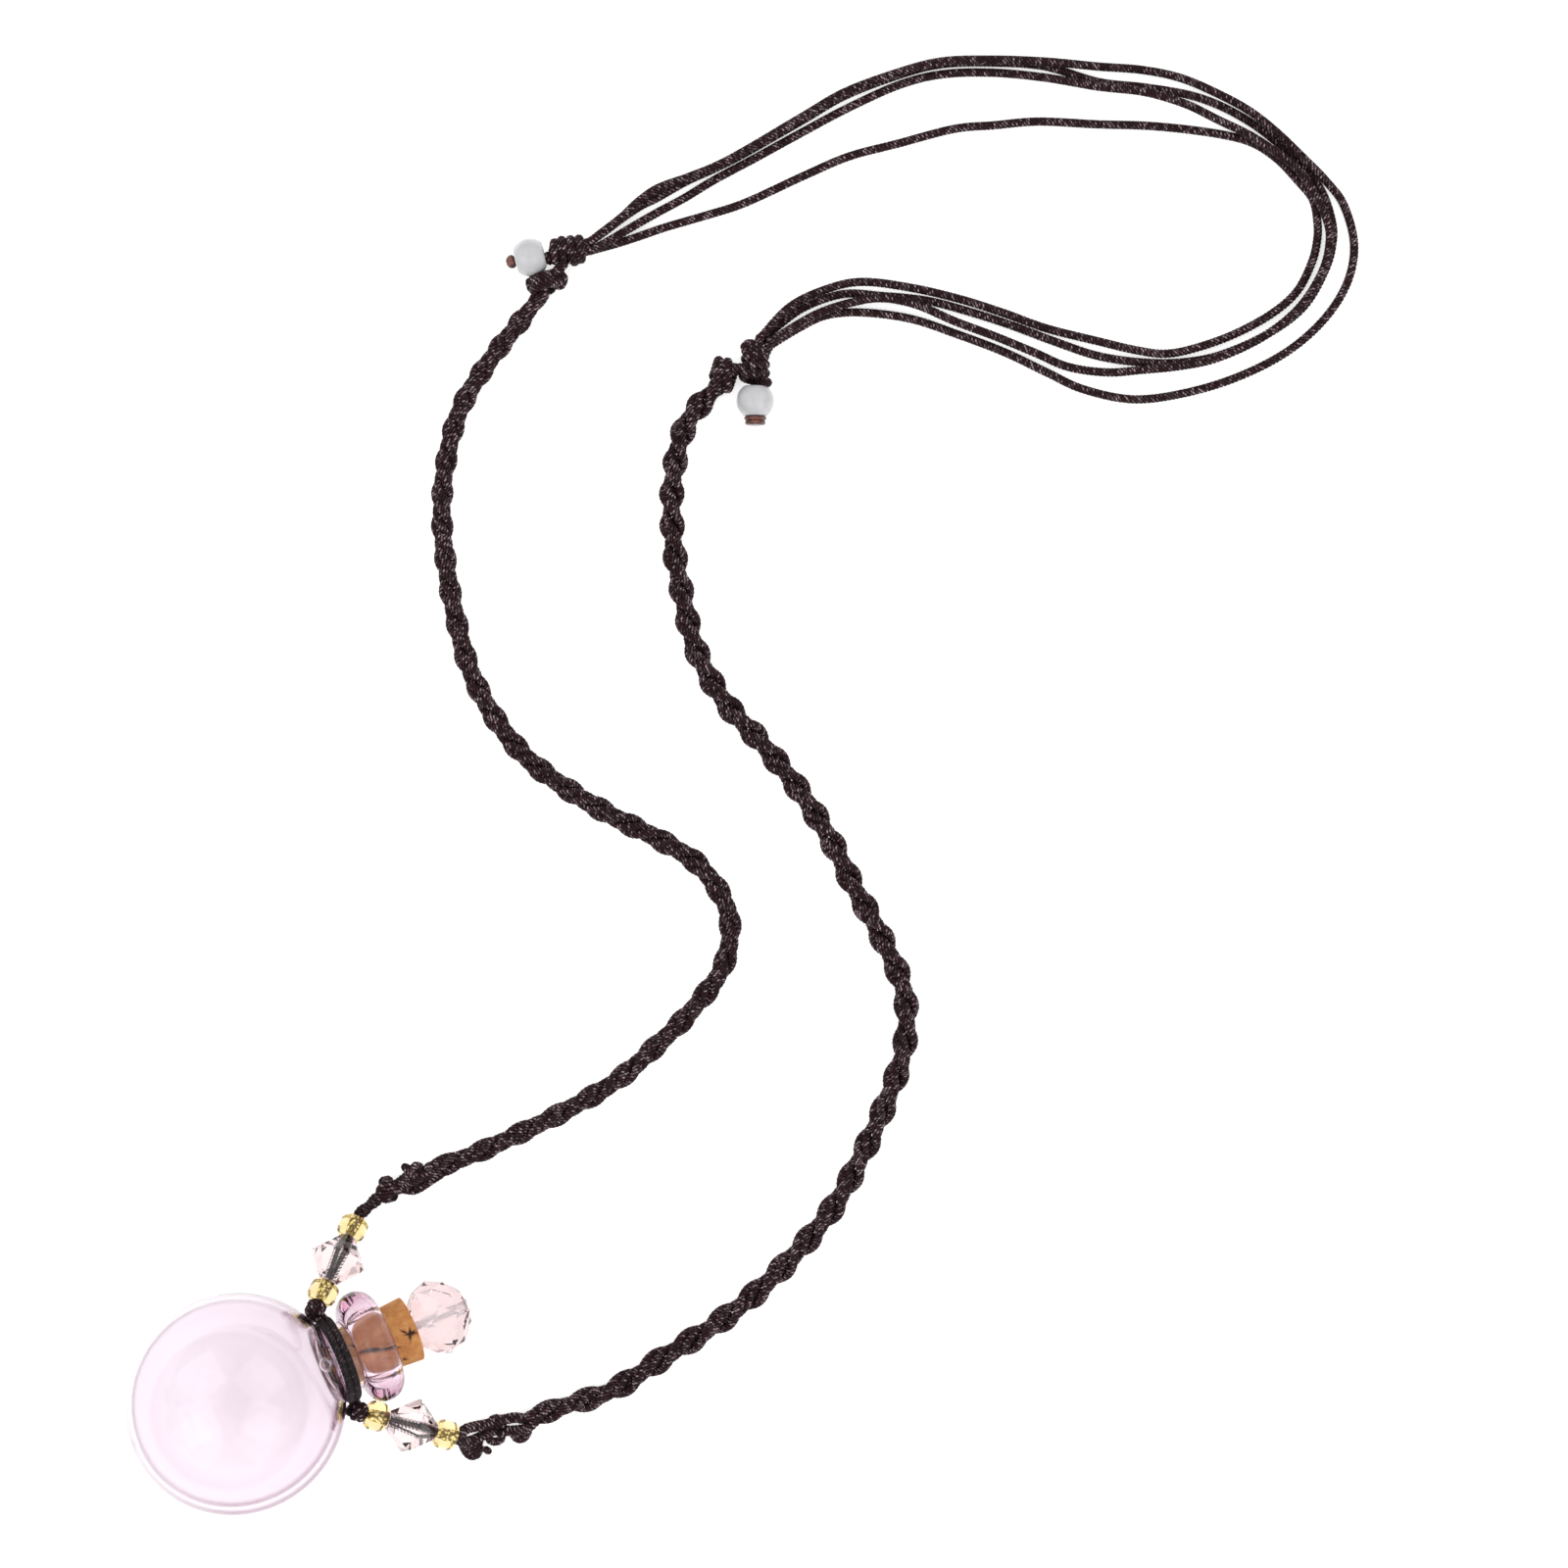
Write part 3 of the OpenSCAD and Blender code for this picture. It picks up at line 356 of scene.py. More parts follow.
def arc(along, radius, size, start, end, count):
    """Profile points [along, radius] on a circle, by angles from the axis towards the outside."""
    angle = np.radians(np.linspace(start, end, count))
    return np.stack([along + size * np.cos(angle), radius + size * np.sin(angle)], -1)


def joined(*parts):
    """One profile from several, without the points that they share."""
    line = np.vstack([np.array(part, float) for part in parts])
    keep = np.concatenate([[True], np.linalg.norm(np.diff(line, axis=0), axis=1) > 1e-4])
    return line[keep]


def lathe(shape, place, profile, sides, poles=False, finish=0, crest=0.0, shift=0.0):
    """Turns a profile [along, radius] round the place's axis, and moves each point by the shift. With
    poles its first and last points lie on the axis, and without them the profile closes on itself
    round a hole."""
    profile = np.asarray(profile, float)
    rings = profile[1:-1] if poles else profile
    points = place.at(rings[:, :1], rings[:, 1:], np.arange(sides) * 360 / sides) + shift
    faces = [quads(len(rings), sides, not poles)]
    if poles:
        points = np.vstack([points.reshape(-1, 3), place.at(profile[[0, -1], 0])])
        pole, j = len(rings) * sides, np.arange(sides)
        beside, last = (j + 1) % sides, pole - sides
        faces += [np.stack([np.full(sides, pole), beside, j], -1),
                  np.stack([last + j, last + beside, np.full(sides, pole + 1)], -1)]
    shape.add(points, faces, finish=finish, crest=crest)


def cut_stone(shape, place, rings, sides, twist, bore_r):
    """Cut stone: rings [along, radius] of corners, each turned back against the one before it by the
    twist, which is counted in facets, with flat facets between them. The ends are flat round a bore of
    three points to a facet, so that the end rings' sides are split into thirds."""
    last, split = len(rings) - 1, 3 * sides
    top = split + sides * (last - 1)

    def on_ring(k, radius, turns):
        """Points at the height of ring k, at turns counted in facets."""
        return place.at(rings[k][0], radius, (turns - twist * k) * 360 / sides)

    def in_thirds(k):
        """Ring k with its sides split into thirds."""
        corners, first = on_ring(k, rings[k][1], np.arange(sides + 1)), np.arange(split) // 3
        share = (np.arange(split) % 3)[:, None] / 3
        return corners[first] * (1 - share) + corners[first + 1] * share

    def side_points(k, i):
        """Numbers of the points of ring k from corner i to the next."""
        parts, start = (3 if k in (0, last) else 1), (split + sides * (k - 1) if k else 0)
        return [start + (parts * i + m) % (parts * sides) for m in range(parts + 1)]

    points = np.vstack([in_thirds(0), *(on_ring(k, rings[k][1], np.arange(sides)) for k in range(1, last)),
                        in_thirds(last), *(on_ring(k, bore_r, np.arange(split) / 3) for k in (last, 0))])
    loops = [top, top + split, top + 2 * split, 0]
    m = np.arange(split)
    n = (m + 1) % split
    faces = [np.stack([a + m, a + n, b + n, b + m], -1) for a, b in zip(loops, loops[1:])]
    for k in range(last):
        for i in range(sides):
            near, far = side_points(k, i), side_points(k + 1, i)[::-1]
            facets = [near + far[:1], near[:1] + far] if twist else [near + far]
            faces += [np.array([facet]) for facet in facets]
    shape.add(points, faces, soft=False)


def tucked(t, turns):
    """How far wound cord is tucked in after t turns, from 0 to 1: the square of a straight rise over
    the last part of a turn at each end."""
    return np.clip(1 - np.minimum(t, turns - t) / TUCK_TURN, 0, 1) ** 2


def wound(place, radius, turns, pitch, start, lean=0.0, wide=0.0):
    """Middle line of cord wound round a place's axis: the angle grows evenly from its start, the height
    with it by the pitch a turn about the middle, plus the lean times the cosine of the angle. The ends
    are tucked in. Sideways the line is wider by the given length times the cosine."""
    t = np.linspace(0, turns, int(60 * turns) + 1)
    angle, ends = start + 360 * t, tucked(t, turns)
    sideways = np.cos(np.radians(angle))
    line = place.at(pitch * (t - turns / 2) + lean * sideways, radius - TUCK * ends, angle)
    return line + (wide * sideways * (1 - ends))[:, None] * place.u


def soften(piece, width):
    """Small rounded edges between the facets."""
    bevel = piece.modifiers.new("edges", "BEVEL")
    bevel.width, bevel.segments = width * MM, 2
    bevel.limit_method, bevel.angle_limit = "ANGLE", math.radians(6)


def see_through(piece):
    """Lets light through a clear piece to the table, because real glass throws a pale shadow."""
    piece.visible_shadow = False
    return piece


# Materials

class Value:
    """A socket of a material, with arithmetic."""

    def __init__(self, paint, socket):
        self.paint, self.socket = paint, socket

    def __add__(self, other):
        return self.paint.maths("ADD", self, other)

    def __sub__(self, other):
        return self.paint.maths("SUBTRACT", self, other)

    def __rsub__(self, other):
        return self.paint.maths("SUBTRACT", other, self)

    def __mul__(self, other):
        return self.paint.maths("MULTIPLY", self, other)

    def __pow__(self, other):
        return self.paint.maths("POWER", self, other)

    __radd__, __rmul__ = __add__, __mul__

    def clamped(self):
        """The value held between 0 and 1."""
        return self.paint.node("ShaderNodeClamp", {}, Value=self)

    def above(self, start, slope):
        """0 up to the start, and from there rising by the slope to 1."""
        return ((self - start) * slope).clamped()


class Paint:
    """A node tree of a material or of the world."""

    def __init__(self, owner):
        owner.use_nodes = True
        self.owner, self.tree = owner, owner.node_tree
        self.tree.nodes.clear()

    def add(self, kind, settings, **inputs):
        """Adds a node, with its settings first and then its sockets."""
        node = self.tree.nodes.new(kind)
        for name, value in settings.items():
            setattr(node, name, value)
        for name, value in inputs.items():
            name = name.replace("_", " ")
            self.put(next(s for s in node.inputs if s.name == name and s.enabled), value)
        return node

    def node(self, kind, settings, out=0, **inputs):
        """Adds a node and returns one of its outputs."""
        return Value(self, self.add(kind, settings, **inputs).outputs[out])

    def put(self, socket, value):
        """Links a value to a socket, or sets the socket to a number or colour."""
        if isinstance(value, Value):
            self.tree.links.new(value.socket, socket)
        else:
            socket.default_value = value

    def maths(self, operation, a, b):
        """A Math node on two values or numbers."""
        node = self.add("ShaderNodeMath", {"operation": operation})
        self.put(node.inputs[0], a)
        self.put(node.inputs[1], b)
        return Value(self, node.outputs[0])

    def mix(self, factor, a, b):
        """Colour a where the factor is 0 and b where it is 1."""
        settings = {"data_type": "RGBA", "clamp_factor": True}
        return self.node("ShaderNodeMix", settings, 2, Factor=factor, A=a, B=b)

    def mark(self, name):
        """The crest or glint mark of the piece's points."""
        return self.node("ShaderNodeAttribute", {"attribute_name": name}, "Fac")

    def here(self):
        """The place on the piece."""
        return self.node("ShaderNodeTexCoord", {}, "Object")

    def noise(self, scale, detail, rough=0.5):
        """Soft blotches from 0 to 1, as many to the metre as the scale says."""
        return self.node("ShaderNodeTexNoise", {}, "Fac", Vector=self.here(), Scale=scale, Detail=detail,
                         Roughness=rough)

    def bump(self, height, distance):
        """Low relief, whose greatest height is the distance in metres."""
        return self.node("ShaderNodeBump", {}, "Normal", Height=height, Distance=distance, Strength=1.0)

    def surface(self, filling=None, **inputs):
        """Puts a Principled shader on the output, and beside it what fills the piece."""
        shader = self.node("ShaderNodeBsdfPrincipled", {}, "BSDF", **inputs)
        volume = {"Volume": filling} if filling else {}
        self.add("ShaderNodeOutputMaterial", {}, Surface=shader, **volume)


def rgb(code):
    """Linear colour of a hex code."""
    c = [int(code[k:k + 2], 16) / 255 for k in (1, 3, 5)]
    return [x / 12.92 if x <= 0.04045 else ((x + 0.055) / 1.055) ** 2.4 for x in c] + [1.0]


def glass(name, tint, colour, density, ior=1.5, slant_shade=None, rim_shade=None, ripple=0.0):
    """Clear glass, tinted a little at each surface and more with its thickness. With a slant shade the
    tint goes to that painted shade where the glass is seen at a slant, to the painted dark rim shade
    where it is seen edge-on and the crest mark is 1, and to a thin painted grey line along the outline of
    the hollow at a glint mark."""
    paint = Paint(bpy.data.materials.new(name))
    inputs = dict(Base_Color=tint, Roughness=0.0, IOR=ior, Transmission_Weight=1.0)
    if slant_shade:
        # 0 where the surface is seen straight on, and 1 where it is seen edge-on
        edge = paint.node("ShaderNodeLayerWeight", {}, "Facing", Blend=0.5)
        # Painted shade where the glass is seen at a slant
        body = paint.mix(edge.above(0.18, 1.7), tint, slant_shade)
        # Painted dark rim where the glass is seen edge-on, as strong as the crest mark
        body = paint.mix(edge.above(0.63, 8.0) * paint.mark("crest"), body, rim_shade)
        # Painted thin grey line along the hollow's outline, where the glint mark is
        off_line = (edge - 0.243) * 80.0
        line = (1.0 - off_line * off_line).clamped() * paint.mark("glint")
        inputs["Base_Color"] = paint.mix(line, body, (0.25, 0.2, 0.24, 1))
    if ripple:
        inputs["Normal"] = paint.bump(paint.noise(160, 1.0), ripple)
    depth = paint.node("ShaderNodeVolumeAbsorption", {}, Color=colour, Density=density)
    paint.surface(filling=depth, **inputs)
    return paint.owner


def woven_nylon(name, shaded_groove, lit_crest, painted_glint, shine):
    """Woven nylon: painted shade between the stitches, painted light on them in patches, and a few painted
    glints.
    """
    paint = Paint(bpy.data.materials.new(name))
    crest, glint = paint.mark("crest"), paint.mark("glint")
    painted_light_patches = paint.noise(900, 1.0)
    # Painted light on the crests of the weave, in patches, and painted shade between the stitches
    light = (crest ** 2.5 * (0.1 + 1.6 * painted_light_patches)).clamped()
    colour = paint.mix(light, rgb(shaded_groove), rgb(lit_crest))
    # Painted glints on some crests
    colour = paint.mix((glint * 1.4).clamped(), colour, rgb(painted_glint))
    fibre = paint.noise(5200, 2.0)
    paint.surface(Base_Color=colour, Roughness=(0.75 - 0.25 * light).clamped(), Specular_IOR_Level=shine,
                  Normal=paint.bump(fibre, 0.00003))
    return paint.owner


def plain(name, **inputs):
    """A finish that is the same all over."""
    paint = Paint(bpy.data.materials.new(name))
    paint.surface(**inputs)
    return paint.owner


def gold_leaf():
    """Gold inside the bead's bore, speckled where it is thin."""
    paint = Paint(bpy.data.materials.new("gold_lining"))
    speck = paint.node("ShaderNodeTexVoronoi", {"feature": "F1"}, "Distance", Vector=paint.here(),
                       Scale=3800.0)
    colour = paint.mix(speck.above(0.32, 4.0), (1.0, 0.9, 0.55, 1), (0.16, 0.11, 0.03, 1))
    paint.surface(Base_Color=colour, Metallic=1.0, Roughness=0.28, Normal=paint.bump(speck, 0.00006))
    return paint.owner


def milk_glass():
    """Milky glass beads, slightly uneven inside."""
    paint = Paint(bpy.data.materials.new("milky_glass"))
    colour = paint.mix(paint.noise(700, 3.0), rgb("#b5b5b9"), rgb("#cfcfd0"))
    paint.surface(Base_Color=colour, Roughness=0.14, Coat_Weight=0.3, Coat_Roughness=0.05,
                  Subsurface_Weight=0.35, Subsurface_Radius=(0.001, 0.001, 0.001), Subsurface_Scale=0.6)
    return paint.owner


def melted_nylon():
    """Nylon melted into a button: copper brown with darker burnt patches."""
    paint = Paint(bpy.data.materials.new("melted_tip"))
    colour = paint.mix(paint.noise(1500, 3.0).above(0.42, 5.0), rgb("#1e0c08"), rgb("#743a2a"))
    paint.surface(Base_Color=colour, Roughness=0.32, Coat_Weight=0.35,
                  Normal=paint.bump(paint.noise(2400, 2.0), 0.00005))
    return paint.owner


def cork_bark():
    """Tan cork with a fine grain, darker in its pits and cracks."""
    paint = Paint(bpy.data.materials.new("cork"))
    grain, fleck = paint.noise(900, 4.0, 0.65), paint.noise(2600, 2.0)
    colour = paint.mix(grain.above(0.38, 2.4), rgb("#b4733c"), rgb("#d69b5b"))
    colour = paint.mix(fleck.above(0.66, 5.0), colour, rgb("#8d5630"))
    colour = paint.mix(paint.mark("crest"), colour, rgb("#3b1e12"))
    paint.surface(Base_Color=colour, Roughness=0.8, Normal=paint.bump(grain + 0.4 * fleck, 0.00005))
    return paint.owner


# Rose glass: tint at the surface, colour with its thickness, and the painted slant and rim shades
ROSE, ROSE_DEPTH = (0.96, 0.88, 0.88, 1), (0.875, 0.055, 0.13, 1)
ROSE_PAINTED_SHADES = {"slant_shade": (0.72, 0.58, 0.58, 1), "rim_shade": (0.4, 0.3, 0.3, 1)}
# Brown nylon: painted shade between the stitches, painted light on them, painted glints, and shine
BROWN = ["#0c0405", "#471f26", "#b8a2a8", 0.14]

# The bottle's slant and rim colours are painted shade
bottle_glass = glass("bottle_glass", (0.91, 0.877, 0.905, 1), (0.7, 0.03, 0.4, 1), 48,
                     slant_shade=(0.81, 0.74, 0.8, 1), rim_shade=(0.12, 0.035, 0.085, 1), ripple=0.00001)
crystal_glass = glass("pink_crystal", ROSE, ROSE_DEPTH, 16, **ROSE_PAINTED_SHADES)
stopper_glass = glass("stopper_crystal", ROSE, ROSE_DEPTH, 15, ior=1.52, **ROSE_PAINTED_SHADES)
yellow_glass = glass("gold_lined_glass", (1.0, 0.94, 0.76, 1), (0.958, 0.78, 0.017, 1), 190)
# Each nylon: painted shade between the stitches, painted light on them, painted glints and shine
string_cord = woven_nylon("bead_thread", "#0c0506", "#3c1f24", "#8b7378", 0.14)
neck_cord = woven_nylon("neck_cord", "#0a0607", "#2c1c20", "#6c565c", 0.3)
knot_cord, braid_cord, loop_cord = (woven_nylon(name, *BROWN)
                                    for name in ("knot_cord", "braid_cord", "loop_cord"))
pin_metal = plain("pin_metal", Base_Color=(0.85, 0.85, 0.87, 1), Metallic=1.0, Roughness=0.35)
gold_lining = gold_leaf()
milky_glass = milk_glass()
melted_tip = melted_nylon()
cork_brown = cork_bark()


# Camera, and the loop's four strands, which are free cords

def photo_camera():
    """A camera that looks straight down, as in the photo."""
    data = bpy.data.cameras.new("camera")
    data.lens, data.sensor_width = 74.03, 36
    data.clip_start, data.clip_end = 0.01, 10
    camera = bpy.data.objects.new("camera", data)
    camera.location = (*VIEW_MIDDLE, CAMERA_HEIGHT)
    bpy.context.scene.collection.objects.link(camera)
    bpy.context.scene.camera = camera
    bpy.context.scene.view_settings.view_transform = "Standard"


def loop_strand(k):
    """One strand of the sliding loop, along its route."""
    strand = Shape()
    middle = cord(strand, smooth(LOOP_ROUTES[k]), LOOP_D)
    piece = strand.make(f"loop_cord_{k + 1}", [loop_cord], "loop_cord", f"loop_strand_{k + 1}")


# Braids

def braid_line(side, spot_in_braid):
    """Middle line of one strand of a braid: its place in the cross-section, times the braid's width,
    turns left-handed round the braid's middle line by half a turn a lobe. The lobes get shorter
    towards the end knot. The share is 1 there and 0 at the start knot."""
    line = smooth([[x, y, BRAID_Z] for x, y in BRAID_ROUTES[side]])
    length = running(line)[-1] - BRAID_START - BRAID_SHORTER[side]
    lobes = length / LOBE
    share = np.linspace(1, 0, 1200)
    at = BRAID_START + length * (1 - share)
    turned = np.radians(90 + 180 * lobes * share * (1 + TIGHTER * (share - 1)))[:, None]
    way = unit(spot(line, at + 0.5) - spot(line, at - 0.5))
    across = unit(np.cross(UP, way))
    width = BRAID_SPREAD * np.interp(share, *BRAID_WIDTHS[side])[:, None]
    x, y = width * spot_in_braid[0], width * spot_in_braid[1]
    return (spot(line, at) + (x * np.cos(turned) - y * np.sin(turned)) * across
            + (x * np.sin(turned) + y * np.cos(turned)) * UP)


def braid(side):
    """The four strands of a braid."""
    for k, spot_in_braid in enumerate(BRAID_SPOTS[side]):
        name, strand = f"{SIDES[side]}_{k + 1}", Shape()
        cord(strand, braid_line(side, spot_in_braid), STRAND_D)
        strand.make(f"braid_cord_{name}", [braid_cord], "braid_cord", f"braid_{name}")


# Bottle and cork

# Rings on the inside of the ball
INSIDE_RINGS = 78
# Pits and cracks of the cork: place along the bottle's axis and round it, half length, half width, depth
# and turn. The first are listed one by one, and the others lie at random within the ranges. Places round the
# cork are lengths at the cork's radius here, and a pit is as dark as it gets from the dark depth on.
PITS =[[19.2, 0.1, 0.55, 0.13, 0.4, 0.2], [19.1, 0.1, 0.6, 0.12, 0.4, 1.9],
        [19.25, 0.15, 0.45, 0.12, 0.35, 2.6], [19.2, 0.1, 0.25, 0.22, 0.4, 0],
        [18.6, -0.35, 0.4, 0.09, 0.3, 0.8], [17.9, 3.0, 0.25, 0.12, 0.3, 0.5],
        [17.7, 2.8, 0.2, 0.1, 0.3, 1.9], [17.0, 0.9, 0.7, 0.1, 0.3, 0.2],
        [16.0, 0.6, 0.6, 0.12, 0.3, 0.5], [15.1, 0.1, 0.6, 0.16, 0.35, 0.6],
        [14.2, -0.5, 0.6, 0.14, 0.35, 0.9], [13.4, -1.1, 0.5, 0.14, 0.3, 0.4]]
PIT_RANGES = [[11.7, 19.7], [-10, 10], [0.1, 0.35], [0.05, 0.12], [0.03, 0.11], [0, math.pi]]
PIT_COUNT, DARK_DEPTH, CORK_R = 45, 0.2, 3.4


def bottle_profile():
    """Round the outside from the pole to the lip, into the mouth and back round the inside."""
    ball, neck_foot = arc(0, 0, BALL_R, 180, 20.75, 90), arc(11.22, 4.25, 0.5, 200.75, 270, 9)
    under_lip, lip_below = arc(12.9, 4.05, 0.3, 270, 360, 7), arc(15.1, 4.2, 1.9, 180, 90, 22)
    lip_above, mouth = arc(15.3, 4.2, 1.9, 90, 0, 22), arc(16.95, 3.65, 0.25, 0, -90, 7)
    neck_inside = [[15.5, 3.248], [14, 3.13], [12.7, 3.028], [11.7, 2.95], [11.3, 2.95]]
    foot_inside = arc(10.613, 3.25, 0.3, -90, -162.97, 7)
    hollow = arc(0, 0, HOLLOW_R, 17.03, 180, INSIDE_RINGS + 2)
    return joined(ball, neck_foot, under_lip, lip_below, lip_above, mouth, neck_inside, foot_inside, hollow)


def uneven_inside(rings):
    """How far the hollow's rings, the last ones, are off the ball's middle, so that the wall isn't even:
    the root of a sine from the neck to the pole."""
    share = np.zeros(rings)
    share[-INSIDE_RINGS:] = np.sin(np.linspace(0, np.pi, INSIDE_RINGS)) ** 0.5
    return share[:, None, None] * (0.1 * ON_BOTTLE.u - 0.04 * ON_BOTTLE.w)


def bottle():
    """The blown bottle. Its crest mark makes the painted dark rim stronger towards the lower right of the
    view, and its glint mark puts a painted grey line along the hollow's outline on the upper left of the
    inner wall."""
    shape, profile = Shape(), bottle_profile()
    lathe(shape, ON_BOTTLE, profile, 240, poles=True, shift=uneven_inside(len(profile) - 2))
    from_middle = shape.points[0] - BALL_CENTRE
    x, y, z = unit(from_middle).T
    in_hollow = (np.linalg.norm(from_middle, axis=1) < 11) & (unit(from_middle) @ BOTTLE_AXIS < 0.9)
    # Painted shade: how strong the dark rim is, more towards the lower right
    shape.crest[0] = np.clip(0.66 + 0.5 * (0.7 * x - 0.72 * y), 0, 1)
    # Painted shade: the grey line along the hollow's outline, on the upper half and to the left
    shape.glint[0] = in_hollow * (z > 0) * np.clip(0.1 - 1.2 * (0.9 * x - 0.35 * y), 0, 1)
    see_through(shape.make("glass_bottle", [bottle_glass], "bottle_glass", "bottle"))


def pit_depth(along, degrees):
    """Depth of the pits and cracks on the cork's side: the deepest of long soft bells, each with its own
    place, length, width, depth and turn."""
    around = np.radians(degrees - 90) * CORK_R
    small = [chance.uniform(low, high, PIT_COUNT) for low, high in PIT_RANGES]
    depth = np.zeros(np.broadcast(along, around).shape)
    for at, off, long, wide, deep, turn in np.vstack([PITS, np.transpose(small)]):
        along_pit = (along - at) * math.cos(turn) + (around - off) * math.sin(turn)
        over_pit = (around - off) * math.cos(turn) - (along - at) * math.sin(turn)
        depth = np.maximum(depth, deep * np.exp(-(along_pit / long) ** 2 - (over_pit / wide) ** 2))
    return depth


def cork_stopper():
    """The cork: its side, ends and bore turned as one, with the side lowered by the pits."""
    shape, sides = Shape(), 200
    side_line = np.stack([np.linspace(11.8, 19.9, 110), np.linspace(2.908, 3.542, 110)], -1)
    profile = joined([[11.7, 0.45], [11.7, 1.6], [11.7, 2.75], [11.73, 2.86]], side_line,
                     [[19.97, 3.51], [20, 3.4], [20, 2.6], [20, 1.6], [20, 0.45]])
    degrees = np.arange(sides) * 360 / sides
    # The pits are on the side and its upper edge
    on_side = (profile[:, 1] > 2.8) & (profile[:, 0] > 11.75) & (profile[:, 0] < 19.98)
    depth = pit_depth(profile[:, :1], degrees) * on_side[:, None]
    outwards = ON_BOTTLE.at(0.0, 1.0, degrees) - ON_BOTTLE.centre
    lathe(shape, ON_BOTTLE, profile, sides, crest=np.clip(depth / DARK_DEPTH, 0, 1),
          shift=-depth[..., None] * outwards)
    shape.make("cork_stopper", [cork_brown], "cork", "cork", "stopper")


# Stone on the cork, and the pin

STOPPER_RINGS = [[-3, 2.075], [-1.62, 3.569], [0, 4.15], [1.62, 3.569], [3, 2.075]]


def stopper_stone():
    """The faceted bead on the cork, with ten facets round it, each ring half a facet on."""
    shape = Shape()
    cut_stone(shape, Place(ON_BOTTLE.at(STOPPER_AT), BOTTLE_AXIS), STOPPER_RINGS, 10, 0.5, 0.46)
    piece = shape.make("stopper_stone", [stopper_glass], "stopper_crystal", "stopper_bead", "stopper")
    soften(see_through(piece), 0.05)


def stopper_wire():
    """The pin: a wire with a rounded foot, a flat head outside the stone and an eye inside the bottle."""
    shape = Shape()
    wire = [[10.95, 0], [10.95, 0.3], [11.03, 0.4], [19, 0.4], [26.3, 0.4], [26.35, 0]]
    head = joined([[26.2, 0], [26.2, 0.93]], arc(26.3, 0.9, 0.1, 180, 90, 4)[1:],
                  arc(26.4, 0.85, 0.15, 90, 0, 5), [[26.55, 0]])
    lathe(shape, ON_BOTTLE, wire, 24, poles=True)
    lathe(shape, ON_BOTTLE, head, 40, poles=True)
    eye_place = Place(ON_BOTTLE.at(EYE_AT), ON_BOTTLE.v + 0.2 * ON_BOTTLE.u)
    lathe(shape, eye_place, arc(0, 0.62, 0.23, 0, -330, 12), 32)
    shape.make("stopper_wire", [pin_metal], "pin_metal", "stopper_pin", "stopper")


# Cord round the bottle's neck, and its knots

def neck_ring():
    """Two closed turns of cord round the neck."""
    shape = Shape()
    for offset in (-0.35, 0.35):
        turn = ON_BOTTLE.at(NECK_CORD_AT + offset, NECK_RING_R, np.linspace(0, 360, 181))
        cord(shape, turn, NECK_RING_D, up=BOTTLE_AXIS, closed=True)
    shape.make("neck_ring_cord", [neck_cord], "neck_cord", "neck_cord")


def neck_tie(side):
    """The knot beside the neck: two wraps, and two cords that come into them from the neck's ring."""
    shape, place = Shape(), STRINGS[side]
    cord(shape, wound(place, 0.6, 2.3, 0.66, start=200, lean=0.12), NECK_WRAP_D, up=place.w)
    for offset in (-0.3, 0.3):
        start = ON_BOTTLE.at(NECK_CORD_AT, NECK_RING_R, 180 * side) + offset * BOTTLE_AXIS
        cord(shape, smooth([start, (start + place.centre) / 2, place.centre]), NECK_TIE_D)
    shape.make(f"neck_tie_{SIDES[side]}", [knot_cord], "knot_cord", f"neck_knot_{SIDES[side]}")


# Bead strings

# The outside of a gold-lined bead, the rounded edges of its bore and the bore's wall
GOLD_PROFILE = joined(arc(-0.475, 0.85, 0.7, 180, 90, 12), arc(0.475, 0.85, 0.7, 90, 0, 12),
                      arc(1.1, 0.7, 0.075, 0, -70, 4),
                      [[0.85, 0.5], [0.6, 0.44], [0, 0.42], [-0.6, 0.44], [-0.85, 0.5]],
                      arc(-1.1, 0.7, 0.075, -110, -180, 4))
CRYSTAL_RINGS = [[-2.75, 0.95], [-0.1, 3], [0.1, 3], [2.75, 0.95]]


def gold_bead(side, where):
    """A round glass bead, gold on the wall of its bore."""
    shape, place, name = Shape(), STRINGS[side], f"{where}_{SIDES[side]}"
    sides, in_bore = 48, GOLD_PROFILE[:, 1] < 0.76
    lined = np.repeat(in_bore & np.roll(in_bore, -1), sides)
    lathe(shape, Place(place.at(GOLD_AT[where]), place.w), GOLD_PROFILE, sides, finish=lined)
    see_through(shape.make(f"gold_bead_glass_{name}", [yellow_glass, gold_lining], "gold_lined_glass",
                           f"gold_bead_{name}"))


def crystal(side):
    """The pointed crystal bead, eight facets round."""
    shape, place, name = Shape(), STRINGS[side], SIDES[side]
    cut_stone(shape, Place(place.at(CRYSTAL_AT), place.w), CRYSTAL_RINGS, 8, 0, 0.52)
    piece = shape.make(f"crystal_glass_{name}", [crystal_glass], "pink_crystal", f"crystal_{name}")
    soften(see_through(piece), 0.04)


def string_thread(side):
    """Thread through the three beads. On the left it goes on as two strands to the lump: they bow apart
    by a power of a sine, and turn round each other by a third of a turn."""
    shape, place = Shape(), STRINGS[side]
    cord(shape, place.at(np.linspace(THREAD_START, THREAD_END, 40)), THREAD_WIDTHS,
         weave_height=THREAD_WEAVE_HEIGHT)
    if side == LEFT:
        fork = place.at(THREAD_END - 0.15)
        way, reach = Place(fork, LUMP - fork), np.linalg.norm(LUMP - fork) - 1.1
        share = np.linspace(0, 1, 60)
        apart = 0.48 * np.sin(np.pi * share) ** 0.6
        for turn in (30, 210):
            cord(shape, way.at(share * reach, apart, turn + 120 * share), DOUBLED_D)
    shape.make(f"string_thread_{SIDES[side]}", [string_cord], "bead_thread", f"bead_thread_{SIDES[side]}")


# Knots

